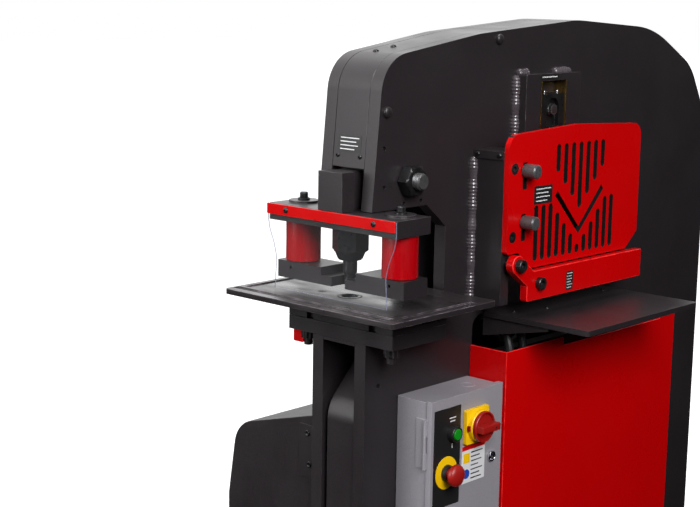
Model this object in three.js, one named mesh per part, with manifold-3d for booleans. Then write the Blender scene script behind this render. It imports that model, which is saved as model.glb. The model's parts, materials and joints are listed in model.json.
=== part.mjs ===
// Hydraulic punch and shear press: two thick side plates carry a rocker arm that drives a punch
// ram at one end and a shear blade carrier in the middle.
//
// Axes: X runs along the machine from the punch end, -Y is the operator's side, +Z is up.
// Sizes are in millimetres. While it is built, x = 0 is the front edge of the column, y = 0 is
// midway between the side plates and z = 0 is the floor. The last lines move the origin to the
// middle of the footprint.

import * as THREE from 'three';
import { mergeVertices } from 'three/addons/utils/BufferGeometryUtils.js';
import Module from 'manifold-3d';

const wasm = await Module();
wasm.setup();

// ---------------------------------------------------------------- driving dimensions

const GAP = 0.3;                    // clearance between pieces that touch
const RUN = 1.2;                    // clearance beside a moving piece
const FIT = 0.5;                    // clearance of what slides between the side plates

const PLATE_T = 25.4;               // side plate thickness
const PLATE_SPACE = 76.2;           // clear space between the side plates
const FRAME_L = 1120;               // length of the side plates
const TABLE_H = 950;                // top of the punch table above the floor
const HEAD_RISE = 457;              // top of the head above the punch table, over the throat
const FOOT_H = 60;                  // height of the feet
const FOOT_W = 110;                 // width of a foot along X
const FOOT_SPAN = 660;              // length of a foot along Y
const FOOT_INSET = 12;              // foot behind the end of the side plates
const FOOT_HOLE = { d: 18, inset: 40 };

const THROAT_D = 210;               // depth of the punch throat
const THROAT_RISE = 157;            // underside of the head above the punch table
const HEAD_SETBACK = 10;            // foot of the head behind the column front
const HEAD_LEAN = 18;               // how far the head leans back over its height
const COVER_T = 8;                  // thickness of the strip that closes the head
const COVER_SPLIT = FRAME_L / 2;    // where the head's strip meets the rear one
const WINDOW = { x0: 360, x1: 640, rise0: 30, rise1: 247 };   // stock passage through both plates
const HOSE_WINDOW = { x0: 297, x1: 640, drop0: 150, drop1: 66 };

const TABLE_T = 10;                 // punch table
const TABLE_X0 = -88;
const TABLE_X1 = 188;
const TABLE_W = 403;
const BOLSTER_W = 251;              // block under the punch table
const BOLSTER_L = 144;
const BOLSTER_UPPER_T = 38;
const BOLSTER_LOWER_T = 25.4;
const BOLSTER_STUD = { x: 26, y: 100, d: 16, below: 30, nut: 28, nutBelow: 18 };
const BOLSTER_NOTCH = { x0: 77, x1: 128, depth: 34, floor: 9 };
const BOLSTER_SLOT = { ys: [-86, 64], w: 16, depth: 10, h: 12 };
const TABLE_GROOVE = 3;             // depth of the grooves in the punch table
const SEAT_T = 6;                   // plate that closes the column under the bolster
const WEB_T = 12;                   // web at the back of the column
const DIE_CLEARANCE = 2.6;          // die bore wider than the punch
const DIE_WALL = 8;
const DIE_PROUD = 0.6;              // top of the die above the punch table

const PUNCH_X = 26;                 // punch axis behind the column front
const PUNCH_D = 25.4;
const STEM_D = 34;                  // stem of the ram, which the coupling nut screws on
const STEM_L = 20;                  // stem below the top of the coupling nut
const NUT_FLATS = 57;               // coupling nut across flats
const NUT_H = 45;
const NUT_TAPER = 14;               // cone under the coupling nut
const BAR_X0 = -25;                 // crosshead bar
const BAR_X1 = 63;
const BAR_W = 304;
const BAR_T = 30;
const RAM_X0 = -28;                 // ram nose
const RAM_W = 57;
const RAM_NOSE_L = 31;
const RAM_NECK_W = 36;              // neck that joins the nose to the ram's body
const RAM_RISE = 69;                // top of the ram nose above the crosshead bar
const RAM_BODY_X0 = 36;
const RAM_BODY_X1 = 86;
const RAM_PIN_X = 60;
const RAM_PIN_RISE = 300;           // ram pin above the punch table
const RAM_PIN_D = 22;

const SPRING_D = 63;                // urethane stripper springs
const SPRING_H = 75;
const SPRING_Y = 115.5;
const STUD_D = 16;
const STUD_NUT_D = 22;
const WASHER = { d: 54, t: 4 };     // under the stud nuts on the crosshead bar
const STRIPPER_WAY = 3.3;           // clearance round the punch in the stripper plate
const STRIPPER_OPEN = 19;           // stripper plate above the punch table
const STRIPPER_T = 31;
const STRIPPER_X0 = -4;
const STRIPPER_X1 = 59;
const STRIPPER_GIVE = 12;           // how far the springs give over one stroke
const SHIELD_T = 2.5;

const PIVOT_X = 345;                // main pivot of the rocker arm
const PIVOT_RISE = 315;             // above the punch table
const PIVOT_D = 50;
const PIVOT_SEAT = 14;              // depth of the pin's blind pockets in the side plates
const ARM_T = 50.8;
const ROD_X = FRAME_L - 170;        // hydraulic cylinder axis
const ROD_PIN_RISE = 300;
const ROD_D = 36;
const ROD_PIN_D = 25;
const BARREL_D = 70;
const BARREL_Z0 = TABLE_H - 650;
const BARREL_Z1 = TABLE_H - 90;

const GUIDE_X0 = 406;               // shear guide, an inverted U
const GUIDE_X1 = 582;
const GUIDE_T = 25.4;
const GUIDE_RISE0 = 252;
const GUIDE_RISE1 = 381;
const STRAP_H = 14;
const CARRIER_W = 75.4;             // blade carrier between its gibs
const CARRIER_X = 494;
const CARRIER_RISE = 342;
const CARRIER_SHOULDER = 232;       // top of the carrier's wide part
const CARRIER_LAP = 8;              // carrier past the edges of the stock passage
const GIB_W = 3;
const BLADE_T = 18;
const BLADE_EASE = 2;               // openings in the blades wider than those in the guard

const HOUSING_X0 = 286;             // shear housing, one box at each end of the guard
const HOUSING_X1 = 720;
const HOUSING_D = 70.5;
const HOUSING_W = 62;
const HOUSING_WALL = 7;
const HOUSING_DROP = 35;            // bottom of the housing below the punch table
const HOUSING_RISE = 245;
const CAP = { out: 2.5, t: 3, lip: 12 };   // cap of a housing: overhang, thickness and folded lip
const GUARD_T = 11;
const GUARD_RISE0 = 28;
const GUARD_RISE1 = 278;
const GUARD_PEAK = 10;
const SLOT_W = 13;
const KNOB_X = 334.5;
const KNOB_D = 26;
const KNOB_L = 30;
const KNOB_RISES = [117, 212];      // knob centres above the punch table
const KNOB_UP = 8;
const KNOB_DOWN = 28;
const BAR_PIVOT = { x: 303, rise: 42 };
const HINGED_BAR = { x0: 331, x1: 716, rise0: -30, rise1: 26, t: 16 };

const SHEAR_TABLE = {
  x0: 325, x1: 700, depth: 240, t: 10, drop: 60.5, gusset: { reach: 150, h: 48, t: 10 },
};
const CABINET = { x0: 292, x1: FRAME_L - 240, depth: 86, drop: 120.5, wall: 3, z0: 85 };
const CABINET_NOTCH = { x0: 474, inset: 60, depth: 16 };

const BOX_X0 = 84.6;                // electrical enclosure
const BOX_W = 203;
const BOX_D = 83;
const BOX_H = 254;
const BOX_DROP = 177.5;             // top of the enclosure below the punch table
const BOX_WALL = 2;
const DOOR_LIP = 12;
const DOOR_OUT = 1;                 // door past the sides of the enclosure
const BODY_IN = 2;                  // body of the enclosure inside its nominal sides
const DOOR_HINGE = { r: 3, out: 3.2, drop0: 300.5, drop1: 210.5, knuckle: 30, leaf: 24, t: 2 };

const FAR_COVER = { x0: 12, x1: 600, reach: 226, z0: 85, drop: 230, wall: 3 };

// ---------------------------------------------------------------- derived places

const DIE_BORE = PUNCH_D + DIE_CLEARANCE;
const DIE_D = DIE_BORE + 2 * DIE_WALL;
const INNER = PLATE_SPACE / 2;                // |y| of the inner plate faces
const OUTER = INNER + PLATE_T;                // |y| of the outer plate faces
const PLATE_Z0 = FOOT_H + GAP;
const rise = (h) => TABLE_H + h;              // height above the punch table
const drop = (h) => TABLE_H - h;              // height below the punch table
const UPPER_Z0 = drop(TABLE_T + GAP + BOLSTER_UPPER_T);
const LOWER_Z0 = UPPER_Z0 - GAP - BOLSTER_LOWER_T;
const THROAT_FLOOR = LOWER_Z0 - GAP;
const STRIPPER_Z0 = rise(STRIPPER_OPEN);
const STRIPPER_Z1 = STRIPPER_Z0 + STRIPPER_T;
const SPRING_Z0 = STRIPPER_Z1 + GAP;
const SPRING_Z1 = SPRING_Z0 + SPRING_H;
const BAR_Z0 = SPRING_Z1 + GAP;
const BAR_Z1 = BAR_Z0 + BAR_T;
const RAM_Z0 = BAR_Z1 + GAP;
const FRONT_Y = -OUTER - HOUSING_D;           // front of the shear housing
const GUARD_Y1 = FRONT_Y - GAP;
const GUARD_Y0 = GUARD_Y1 - GUARD_T;
const GUARD_MID = (HOUSING_X0 + HOUSING_X1) / 2;
const BOX_Z1 = drop(BOX_DROP);
const BOX_Z0 = BOX_Z1 - BOX_H;
const BOX_X1 = BOX_X0 + BOX_W;
const DOOR_Y = -OUTER - BOX_D;                // outer face of the enclosure door
const ARM_Y = ARM_T / 2;
const FIT_Y = INNER - FIT;                    // half width of what slides between the plates

// ---------------------------------------------------------------- geometry helpers

const CHORD_ERROR = 0.15;           // how far a straight step may stray from its arc
const SPLINE_STEPS = 4;             // straight steps between two points of a spline
const SIDES = 24;                   // flats on a round piece

const arcSteps = (r, sweep) => Math.max(
  2, Math.ceil(Math.abs(sweep) / (2 * Math.acos(1 - CHORD_ERROR / r))));

const corner = (x, y, r = 0) => ({ x, y, r });

// A closed outline whose corners may be rounded by a radius.
function outline(corners, path = new THREE.Shape()) {
  const count = corners.length;
  corners.forEach((c, i) => {
    const here = new THREE.Vector2(c.x, c.y);
    const before = corners[(i + count - 1) % count];
    const after = corners[(i + 1) % count];
    const toBefore = new THREE.Vector2(before.x, before.y).sub(here);
    const toAfter = new THREE.Vector2(after.x, after.y).sub(here);
    const half = Math.acos(toBefore.clone().normalize().dot(toAfter.clone().normalize())) / 2;
    const limit = 0.49 * Math.min(toBefore.length(), toAfter.length());
    const reach = c.r ? Math.min(c.r / Math.tan(half), limit) : 0;
    const start = here.clone().addScaledVector(toBefore.normalize(), reach);
    if (i === 0) path.moveTo(start.x, start.y);
    else path.lineTo(start.x, start.y);
    if (reach > 0) {
      const end = here.clone().addScaledVector(toAfter.normalize(), reach);
      const radius = reach * Math.tan(half);
      const middle = start.clone().add(end).multiplyScalar(0.5).sub(here).normalize();
      const centre = here.clone().addScaledVector(middle, radius / Math.sin(half));
      const a0 = Math.atan2(start.y - centre.y, start.x - centre.x);
      const sweep = (Math.PI - 2 * half) * (toBefore.cross(toAfter) > 0 ? -1 : 1);
      const steps = arcSteps(radius, sweep);
      for (let k = 1; k <= steps; k += 1) {
        const a = a0 + (sweep * k) / steps;
        path.lineTo(centre.x + radius * Math.cos(a), centre.y + radius * Math.sin(a));
      }
    }
  });
  path.closePath();
  return path;
}

const rect = (x0, x1, y0, y1, r = 0, path = new THREE.Shape()) => outline(
  [corner(x0, y0, r), corner(x1, y0, r), corner(x1, y1, r), corner(x0, y1, r)], path);

function circle(x, y, r, sides = SIDES, path = new THREE.Shape()) {
  for (let i = 0; i < sides; i += 1) {
    const a = (2 * Math.PI * i) / sides;
    const [px, py] = [x + r * Math.cos(a), y + r * Math.sin(a)];
    if (i === 0) path.moveTo(px, py);
    else path.lineTo(px, py);
  }
  path.closePath();
  return path;
}

// A hole's flats lie at its radius, so that a round piece of that radius passes.
const FLAT_TO_CORNER = 1 / Math.cos(Math.PI / SIDES);

const hole = (x, y, r) => circle(x, y, r * FLAT_TO_CORNER, SIDES, new THREE.Path());

const rectHole = (x0, x1, y0, y1, r = 0) => rect(x0, x1, y0, y1, r, new THREE.Path());

function polygon(x, y, r, sides, turn = 0) {
  const corners = [];
  for (let i = 0; i < sides; i += 1) {
    const a = turn + (2 * Math.PI * i) / sides;
    corners.push(corner(x + r * Math.cos(a), y + r * Math.sin(a)));
  }
  return outline(corners);
}

// Drops points that repeat where a line meets an arc, so that every wall has a width.
function distinct(points) {
  const kept = points.filter((p, i) => p.distanceTo(points[(i + 1) % points.length]) > 1e-3);
  return kept.map((p) => new THREE.Vector2(p.x, p.y));
}

function extrude(shape, depth) {
  const points = shape.extractPoints(SPLINE_STEPS);
  const clean = new THREE.Shape(distinct(points.shape));
  clean.holes = points.holes.map((p) => new THREE.Path(distinct(p)));
  return new THREE.ExtrudeGeometry(clean, { depth, bevelEnabled: false, curveSegments: 1 });
}

// A prism along Z from an outline of x and y, along Y from one of x and z, or along X from
// one of y and z.
const prismZ = (shape, z0, z1) => extrude(shape, z1 - z0).translate(0, 0, z0);

const prismY = (shape, y0, y1) => extrude(shape, y1 - y0)
  .rotateX(Math.PI / 2).translate(0, y1, 0);

const prismX = (shape, x0, x1) => extrude(shape, x1 - x0)
  .applyMatrix4(new THREE.Matrix4().makeBasis(
    new THREE.Vector3(0, 1, 0), new THREE.Vector3(0, 0, 1), new THREE.Vector3(1, 0, 0)))
  .translate(x0, 0, 0);

const block = (x0, x1, y0, y1, z0, z1) => prismZ(rect(x0, x1, y0, y1), z0, z1);

const rodX = (y, z, r, x0, x1) => prismX(circle(y, z, r), x0, x1);

const rodY = (x, z, r, y0, y1) => prismY(circle(x, z, r), y0, y1);

const rodZ = (x, y, r, z0, z1) => prismZ(circle(x, y, r), z0, z1);

// Drills as wide as a round piece of radius r needs, with a clearance all round.
const boreY = (x, z, r, y0, y1) => rodY(x, z, (r + GAP) * FLAT_TO_CORNER, y0, y1);

const boreZ = (x, y, r, z0, z1) => rodZ(x, y, (r + GAP) * FLAT_TO_CORNER, z0, z1);

// A turned piece: profile is a list of [radius, height] that starts and ends on the axis.
const turned = (profile, segments = 28) => new THREE.LatheGeometry(
  profile.map(([r, h]) => new THREE.Vector2(r, h)), segments);

const turnedZ = (x, y, z, profile, segments) => turned(profile, segments)
  .rotateX(Math.PI / 2).translate(x, y, z);

// Turned about Y, with height measured towards the operator.
const turnedFront = (x, y, z, profile, segments) => turned(profile, segments)
  .rotateX(Math.PI).translate(x, y, z);

function solid(geometry) {
  const bare = geometry.clone();
  bare.deleteAttribute('normal');
  bare.deleteAttribute('uv');
  const welded = mergeVertices(bare, 1e-3);
  return new wasm.Manifold(new wasm.Mesh({
    numProp: 3,
    vertProperties: new Float32Array(welded.attributes.position.array),
    triVerts: new Uint32Array(welded.index.array),
  }));
}

function surface(manifold) {
  const mesh = manifold.getMesh();
  const geometry = new THREE.BufferGeometry();
  const stride = mesh.numProp;
  const count = mesh.vertProperties.length / stride;
  const positions = new Float32Array(count * 3);
  for (let i = 0; i < count; i += 1) {
    positions.set(mesh.vertProperties.subarray(i * stride, i * stride + 3), i * 3);
  }
  geometry.setAttribute('position', new THREE.BufferAttribute(positions, 3));
  geometry.setIndex(new THREE.BufferAttribute(new Uint32Array(mesh.triVerts), 1));
  geometry.computeVertexNormals();
  return geometry;
}

const join = (...pieces) => surface(pieces.map(solid).reduce((a, b) => a.add(b)));

const cut = (piece, ...tools) => surface(tools.map(solid).reduce((a, b) => a.subtract(b), solid(piece)));

// ---------------------------------------------------------------- materials

const material = (color, roughness, metalness = 0) => new THREE.MeshStandardMaterial(
  { color, roughness, metalness });

const CHARCOAL = material(0x26262a, 0.5);
const RED = material(0xc4060c, 0.35);
const STEEL = material(0x4a4a4c, 0.4, 0.9);
const BRIGHT = material(0xb9bcc0, 0.25, 1);
const BLACK_OXIDE = material(0x2b2c2e, 0.45, 0.7);
const URETHANE = material(0xa30b14, 0.3);
const CLEAR = new THREE.MeshStandardMaterial(
  { color: 0xe8eef0, roughness: 0.05, transparent: true, opacity: 0.2 });
const GREY = material(0x8f9194, 0.5);
const YELLOW = material(0xf2b705, 0.45);
const GREEN = material(0x0a8a1e, 0.4);
const BRASS = material(0xb08a3c, 0.35, 1);
const RUBBER = material(0x151516, 0.7);

const press = new THREE.Group();

function add(name, geometry, look) {
  const mesh = new THREE.Mesh(geometry, look);
  mesh.name = name;
  press.add(mesh);
  return mesh;
}

// ---------------------------------------------------------------- frame

const HEAD_TOP = rise(HEAD_RISE);

function plateOutline() {
  return outline([
    corner(0, PLATE_Z0),
    corner(FRAME_L, PLATE_Z0),
    corner(FRAME_L, rise(250), 60),
    corner(FRAME_L - 80, rise(380), 120),
    corner(FRAME_L - 240, HEAD_TOP + 5, 300),
    corner(COVER_SPLIT + 40, HEAD_TOP + 23, 300),
    corner(295, HEAD_TOP, 200),
    corner(HEAD_SETBACK + HEAD_LEAN + 6, HEAD_TOP - 39, 72),
    corner(HEAD_SETBACK, rise(THROAT_RISE)),
    corner(THROAT_D - 54, rise(THROAT_RISE)),
    corner(THROAT_D, rise(THROAT_RISE - 44)),
    corner(THROAT_D, THROAT_FLOOR, 30),
    corner(0, THROAT_FLOOR),
  ]);
}

const windowHole = () => rectHole(
  WINDOW.x0, WINDOW.x1, rise(WINDOW.rise0), rise(WINDOW.rise1), 14);

const hoseHole = () => rectHole(
  HOSE_WINDOW.x0, HOSE_WINDOW.x1, drop(HOSE_WINDOW.drop0), drop(HOSE_WINDOW.drop1), 24);

const GUIDE_BOLT = { x: 101, rise: 206, d: 30, out: 38, head: 48, headT: 22, nut: 50, nutT: 24 };
const DRIVE_PIN = { rise: 312, d: 24, travel: 16 };

function sidePlate(side) {
  const shape = plateOutline();
  shape.holes.push(windowHole(), hole(GUIDE_BOLT.x, rise(GUIDE_BOLT.rise), GUIDE_BOLT.d / 2 + GAP));
  if (side < 0) {
    shape.holes.push(hoseHole(), rectHole(
      CARRIER_X - DRIVE_PIN.d / 2 - RUN, CARRIER_X + DRIVE_PIN.d / 2 + RUN,
      rise(DRIVE_PIN.rise) - DRIVE_PIN.d / 2 - RUN,
      rise(DRIVE_PIN.rise) + DRIVE_PIN.d / 2 + DRIVE_PIN.travel, 10));
  }
  const [y0, y1] = side < 0 ? [-OUTER, -INNER] : [INNER, OUTER];
  const [p0, p1] = side < 0 ? [-INNER - PIVOT_SEAT, -INNER + 1] : [INNER - 1, INNER + PIVOT_SEAT];
  const pocket = boreY(PIVOT_X, rise(PIVOT_RISE), PIVOT_D / 2, p0, p1);
  return cut(prismY(shape, y0, y1), pocket);
}

add('near_side_plate', sidePlate(-1), CHARCOAL);
add('far_side_plate', sidePlate(1), CHARCOAL);

// The web closes the back of the column and turns forward under the bolster as its seat.
const SLUG_WAY = DIE_BORE / 2 + 6;            // radius of the hole that the punched slugs drop through
const WEB_X0 = THROAT_D - 30;
add('column_web', cut(join(
  block(WEB_X0, WEB_X0 + WEB_T, -FIT_Y, FIT_Y, PLATE_Z0, THROAT_FLOOR),
  block(0, WEB_X0 + 1, -FIT_Y, FIT_Y, THROAT_FLOOR - SEAT_T, THROAT_FLOOR)),
boreZ(PUNCH_X, 0, SLUG_WAY, THROAT_FLOOR - SEAT_T - 5, THROAT_FLOOR + 5)), CHARCOAL);

// The strips that close the space between the plates follow the plates' own outline.
function coverStrip(x0, x1, z0, outside) {
  const inside = (points) => {
    const shape = new THREE.Shape();
    points.forEach((p, i) => (i ? shape.lineTo(p.x, p.y) : shape.moveTo(p.x, p.y)));
    return shape;
  };
  const band = prismY(outside, -FIT_Y, FIT_Y);
  const points = outside.extractPoints(SPLINE_STEPS).shape;
  const centre = new THREE.Vector2(COVER_SPLIT, rise(200));
  const inner = prismY(inside(points.map((p) => {
    const reach = p.clone().sub(centre);
    return centre.clone().addScaledVector(reach, 1 - COVER_T * 1.15 / reach.length());
  })), -OUTER, OUTER);
  const far = 3000;
  return surface(solid(band).subtract(solid(inner))
    .intersect(solid(block(x0, x1, -OUTER, OUTER, z0, far))));
}

add('head_cover', coverStrip(-50, COVER_SPLIT, BAR_Z1 + RAM_RISE + 4, plateOutline()), CHARCOAL);
add('top_cover', coverStrip(COVER_SPLIT + 1, FRAME_L + 10, rise(-250), plateOutline()), CHARCOAL);

function foot(x) {
  const shape = rect(x, x + FOOT_W, -FOOT_SPAN / 2, FOOT_SPAN / 2, 12);
  [-1, 1].forEach((side) => shape.holes.push(
    hole(x + FOOT_W / 2, side * (FOOT_SPAN / 2 - FOOT_HOLE.inset), FOOT_HOLE.d / 2)));
  return prismZ(shape, 0, FOOT_H);
}
add('front_foot', foot(FOOT_INSET), CHARCOAL);
add('rear_foot', foot(FRAME_L - FOOT_W - FOOT_INSET), CHARCOAL);

// ---------------------------------------------------------------- punch station

add('ram_guide_block', cut(
  block(RAM_BODY_X1 + RUN, RAM_BODY_X1 + 32, -FIT_Y, FIT_Y, rise(THROAT_RISE + 6), rise(222)),
  boreY(GUIDE_BOLT.x, rise(GUIDE_BOLT.rise), GUIDE_BOLT.d / 2, -INNER, INNER)), STEEL);

const hexY = (x, z, flats, y0, y1) => prismY(polygon(x, z, flats / Math.sqrt(3), 6, Math.PI / 6), y0, y1);

const GUIDE_BOLT_Z = rise(GUIDE_BOLT.rise);
add('guide_bolt', join(
  rodY(GUIDE_BOLT.x, GUIDE_BOLT_Z, GUIDE_BOLT.d / 2, -OUTER - GUIDE_BOLT.out, OUTER + 1),
  hexY(GUIDE_BOLT.x, GUIDE_BOLT_Z, GUIDE_BOLT.head, OUTER + GAP, OUTER + GUIDE_BOLT.headT)), BLACK_OXIDE);
add('guide_nut', cut(
  hexY(GUIDE_BOLT.x, GUIDE_BOLT_Z, GUIDE_BOLT.nut, -OUTER - GUIDE_BOLT.nutT, -OUTER - GAP),
  boreY(GUIDE_BOLT.x, GUIDE_BOLT_Z, GUIDE_BOLT.d / 2, -OUTER - GUIDE_BOLT.nutT - 2, -OUTER)), BLACK_OXIDE);

// Chute for the punched slugs: upright in the column's slot, then leaning back under the die.
function slugChute() {
  const t = 3;
  const profile = outline([
    corner(3, PLATE_Z0 + 20), corner(3 + t, PLATE_Z0 + 20), corner(3 + t, drop(205), 60),
    corner(92, drop(112)), corner(92, drop(107)), corner(3, drop(200), 64),
  ]);
  return prismY(profile, -INNER + GAP, 28);
}
add('slug_chute', slugChute(), CHARCOAL);

const DIE_HOLE = DIE_D / 2 + GAP;

function bolsterLower() {
  const body = prismZ(
    rect(0, BOLSTER_L, -BOLSTER_W / 2, BOLSTER_W / 2, 2), LOWER_Z0, LOWER_Z0 + BOLSTER_LOWER_T);
  const { x, y, d, below, nut, nutBelow } = BOLSTER_STUD;
  const studs = [-y, y].map((at) => join(
    rodZ(x, at, d / 2, LOWER_Z0 - below, LOWER_Z0 + 5),
    prismZ(polygon(x, at, nut / 2, 6), LOWER_Z0 - nutBelow, LOWER_Z0 + 2)));
  const slugWay = boreZ(PUNCH_X, 0, SLUG_WAY, LOWER_Z0 - 5, UPPER_Z0 + 5);
  return cut(join(body, ...studs), slugWay);
}
add('bolster_lower', bolsterLower(), CHARCOAL);

function bolsterUpper() {
  const shape = rect(0, BOLSTER_L, -BOLSTER_W / 2, BOLSTER_W / 2, 2);
  shape.holes.push(hole(PUNCH_X, 0, DIE_HOLE));
  const above = UPPER_Z0 + BOLSTER_UPPER_T + 5;
  const notch = block(BOLSTER_NOTCH.x0, BOLSTER_NOTCH.x1, -BOLSTER_W / 2 - 5,
    -BOLSTER_W / 2 + BOLSTER_NOTCH.depth, UPPER_Z0 + BOLSTER_NOTCH.floor, above);
  const slots = BOLSTER_SLOT.ys.map((y) => block(
    -5, BOLSTER_SLOT.depth, y, y + BOLSTER_SLOT.w, UPPER_Z0 - 5, UPPER_Z0 + BOLSTER_SLOT.h));
  return cut(prismZ(shape, UPPER_Z0, UPPER_Z0 + BOLSTER_UPPER_T), notch, ...slots);
}
add('bolster_upper', bolsterUpper(), CHARCOAL);

function punchTable() {
  const half = TABLE_W / 2;
  const shape = rect(TABLE_X0, TABLE_X1, -half, half, 8);
  shape.holes.push(hole(PUNCH_X, 0, DIE_HOLE));
  const groove = (x0, x1, y0, y1) => block(x0, x1, y0, y1, TABLE_H - TABLE_GROOVE, TABLE_H + 5);
  return cut(prismZ(shape, TABLE_H - TABLE_T, TABLE_H),
    groove(TABLE_X0 + 17, TABLE_X0 + 32, 27 - half, half - 5),
    groove(TABLE_X0 + 38, TABLE_X1 - 44, 17 - half, 25 - half),
    groove(TABLE_X0 + 40, TABLE_X1 - 44, half - 25, half - 11));
}
add('punch_table', punchTable(), CHARCOAL);

function die() {
  const ring = circle(PUNCH_X, 0, DIE_D / 2);
  ring.holes.push(hole(PUNCH_X, 0, DIE_BORE / 2));
  return prismZ(ring, UPPER_Z0 + GAP, TABLE_H + DIE_PROUD);
}
add('die', die(), STEEL);

function ram() {
  const pinZ = rise(RAM_PIN_RISE);
  const noseX1 = RAM_X0 + RAM_NOSE_L;
  const nose = block(RAM_X0, noseX1, -RAM_W / 2, RAM_W / 2, RAM_Z0, BAR_Z1 + RAM_RISE);
  const neck = block(noseX1 - 1, RAM_BODY_X0 + 1, -RAM_NECK_W / 2, RAM_NECK_W / 2,
    RAM_Z0, BAR_Z1 + RAM_RISE);
  const body = block(RAM_BODY_X0, RAM_BODY_X1, -FIT_Y, FIT_Y, RAM_Z0, pinZ - 46);
  const ears = [-1, 1].map((side) => {
    const [y0, y1] = side < 0 ? [-FIT_Y, -ARM_Y - RUN] : [ARM_Y + RUN, FIT_Y];
    return prismY(outline([
      corner(RAM_BODY_X0, pinZ - 47), corner(RAM_BODY_X1, pinZ - 47),
      corner(RAM_BODY_X1, pinZ + 20, 18), corner(RAM_BODY_X0, pinZ + 20, 18)]), y0, y1);
  });
  const pin = rodY(RAM_PIN_X, pinZ, RAM_PIN_D / 2, -FIT_Y + 1, FIT_Y - 1);
  const stem = rodZ(PUNCH_X, 0, STEM_D / 2, BAR_Z0 - STEM_L, RAM_Z0 + 1);
  return join(nose, neck, body, ...ears, pin, stem);
}
add('ram', ram(), CHARCOAL);

function crossheadBar() {
  const shape = rect(BAR_X0, BAR_X1, -BAR_W / 2, BAR_W / 2, 2);
  shape.holes.push(hole(PUNCH_X, 0, STEM_D / 2 + GAP));
  [-1, 1].forEach((side) => shape.holes.push(hole(PUNCH_X, side * SPRING_Y, STUD_D / 2 + GAP)));
  const bar = prismZ(shape, BAR_Z0, BAR_Z1);
  const washers = [-1, 1].map((side) => {
    const ring = circle(PUNCH_X, side * SPRING_Y, WASHER.d / 2);
    ring.holes.push(hole(PUNCH_X, side * SPRING_Y, STUD_D / 2 + GAP));
    return prismZ(ring, BAR_Z1 - 1, BAR_Z1 + WASHER.t);
  });
  return join(bar, ...washers);
}
add('crosshead_bar', crossheadBar(), CHARCOAL);

const SHIELD_X1 = BAR_X0 - GAP;
const SHIELD_X0 = SHIELD_X1 - SHIELD_T;
const SHIELD_Z0 = rise(4);

function punchShield() {
  const half = BAR_W / 2;
  const side = (s) => [
    [s * (half - 18), SHIELD_Z0], [s * (half - 20), rise(38)], [s * (half - 21), rise(58)],
    [s * (half - 14), rise(85)], [s * (half - 4), rise(108)], [s * half, BAR_Z0 + 2],
  ];
  const shape = new THREE.Shape();
  const right = side(1).map(([y, z]) => new THREE.Vector2(y, z));
  const left = side(-1).reverse().map(([y, z]) => new THREE.Vector2(y, z));
  shape.moveTo(right[0].x, right[0].y);
  shape.splineThru(right.slice(1));
  shape.lineTo(half, BAR_Z1 - 2);
  shape.lineTo(-half, BAR_Z1 - 2);
  shape.lineTo(left[0].x, left[0].y);
  shape.splineThru(left.slice(1));
  shape.closePath();
  return prismX(shape, SHIELD_X0, SHIELD_X1);
}
add('punch_shield', punchShield(), CLEAR);

add('shield_strip', join(
  block(SHIELD_X0 - GAP - 3, SHIELD_X0 - GAP, -BAR_W / 2, BAR_W / 2, BAR_Z0 + 11, BAR_Z1),
  ...[-104, 104].map((y) => rodX(y, BAR_Z1 - 9, 5, SHIELD_X0 - GAP - 6, SHIELD_X0 - GAP - 2))), RED);

const PUNCH_TIP = rise(STRIPPER_OPEN + 6);

function couplingNut() {
  const flats = NUT_FLATS / Math.sqrt(3);
  const hex = prismZ(polygon(PUNCH_X, 0, flats, 6, Math.PI / 6), BAR_Z0 - GAP - NUT_H, BAR_Z0 - GAP);
  const taper = turnedZ(PUNCH_X, 0, BAR_Z0 - GAP - NUT_H - NUT_TAPER,
    [[0, 0], [21, 0], [27, NUT_TAPER + 0.5], [0, NUT_TAPER + 0.5]], 20);
  const bore = boreZ(PUNCH_X, 0, STEM_D / 2, BAR_Z0 - STEM_L - 2, BAR_Z0 + 5);
  const seat = boreZ(PUNCH_X, 0, STEM_D / 2, BAR_Z0 - GAP - NUT_H - 1, BAR_Z0 - STEM_L - 5);
  const mouth = boreZ(PUNCH_X, 0, PUNCH_D / 2, BAR_Z0 - NUT_H - NUT_TAPER - 6, BAR_Z0 - NUT_H);
  const through = rodZ(PUNCH_X, 0, 6, BAR_Z0 - NUT_H, BAR_Z0);
  return cut(join(hex, taper), bore, seat, mouth, through);
}
add('coupling_nut', couplingNut(), BLACK_OXIDE);

const PUNCH_TOP = BAR_Z0 - STEM_L - 7;
const COLLAR_R = STEM_D / 2 - 1;
add('punch', turnedZ(PUNCH_X, 0, PUNCH_TIP, [
  [0, 0], [PUNCH_D / 2 - 1.5, 0], [PUNCH_D / 2 - 1.5, 16], [PUNCH_D / 2, 19],
  [PUNCH_D / 2, BAR_Z0 - NUT_H - PUNCH_TIP + 1], [COLLAR_R, BAR_Z0 - NUT_H - PUNCH_TIP + 3],
  [COLLAR_R, PUNCH_TOP - PUNCH_TIP], [0, PUNCH_TOP - PUNCH_TIP]], 24), STEEL);

function spring(side) {
  const ring = circle(PUNCH_X, side * SPRING_Y, SPRING_D / 2);
  ring.holes.push(hole(PUNCH_X, side * SPRING_Y, STUD_D / 2 + 1));
  return prismZ(ring, SPRING_Z0, SPRING_Z1);
}
add('urethane_spring_near', spring(-1), URETHANE);
add('urethane_spring_far', spring(1), URETHANE);

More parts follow.
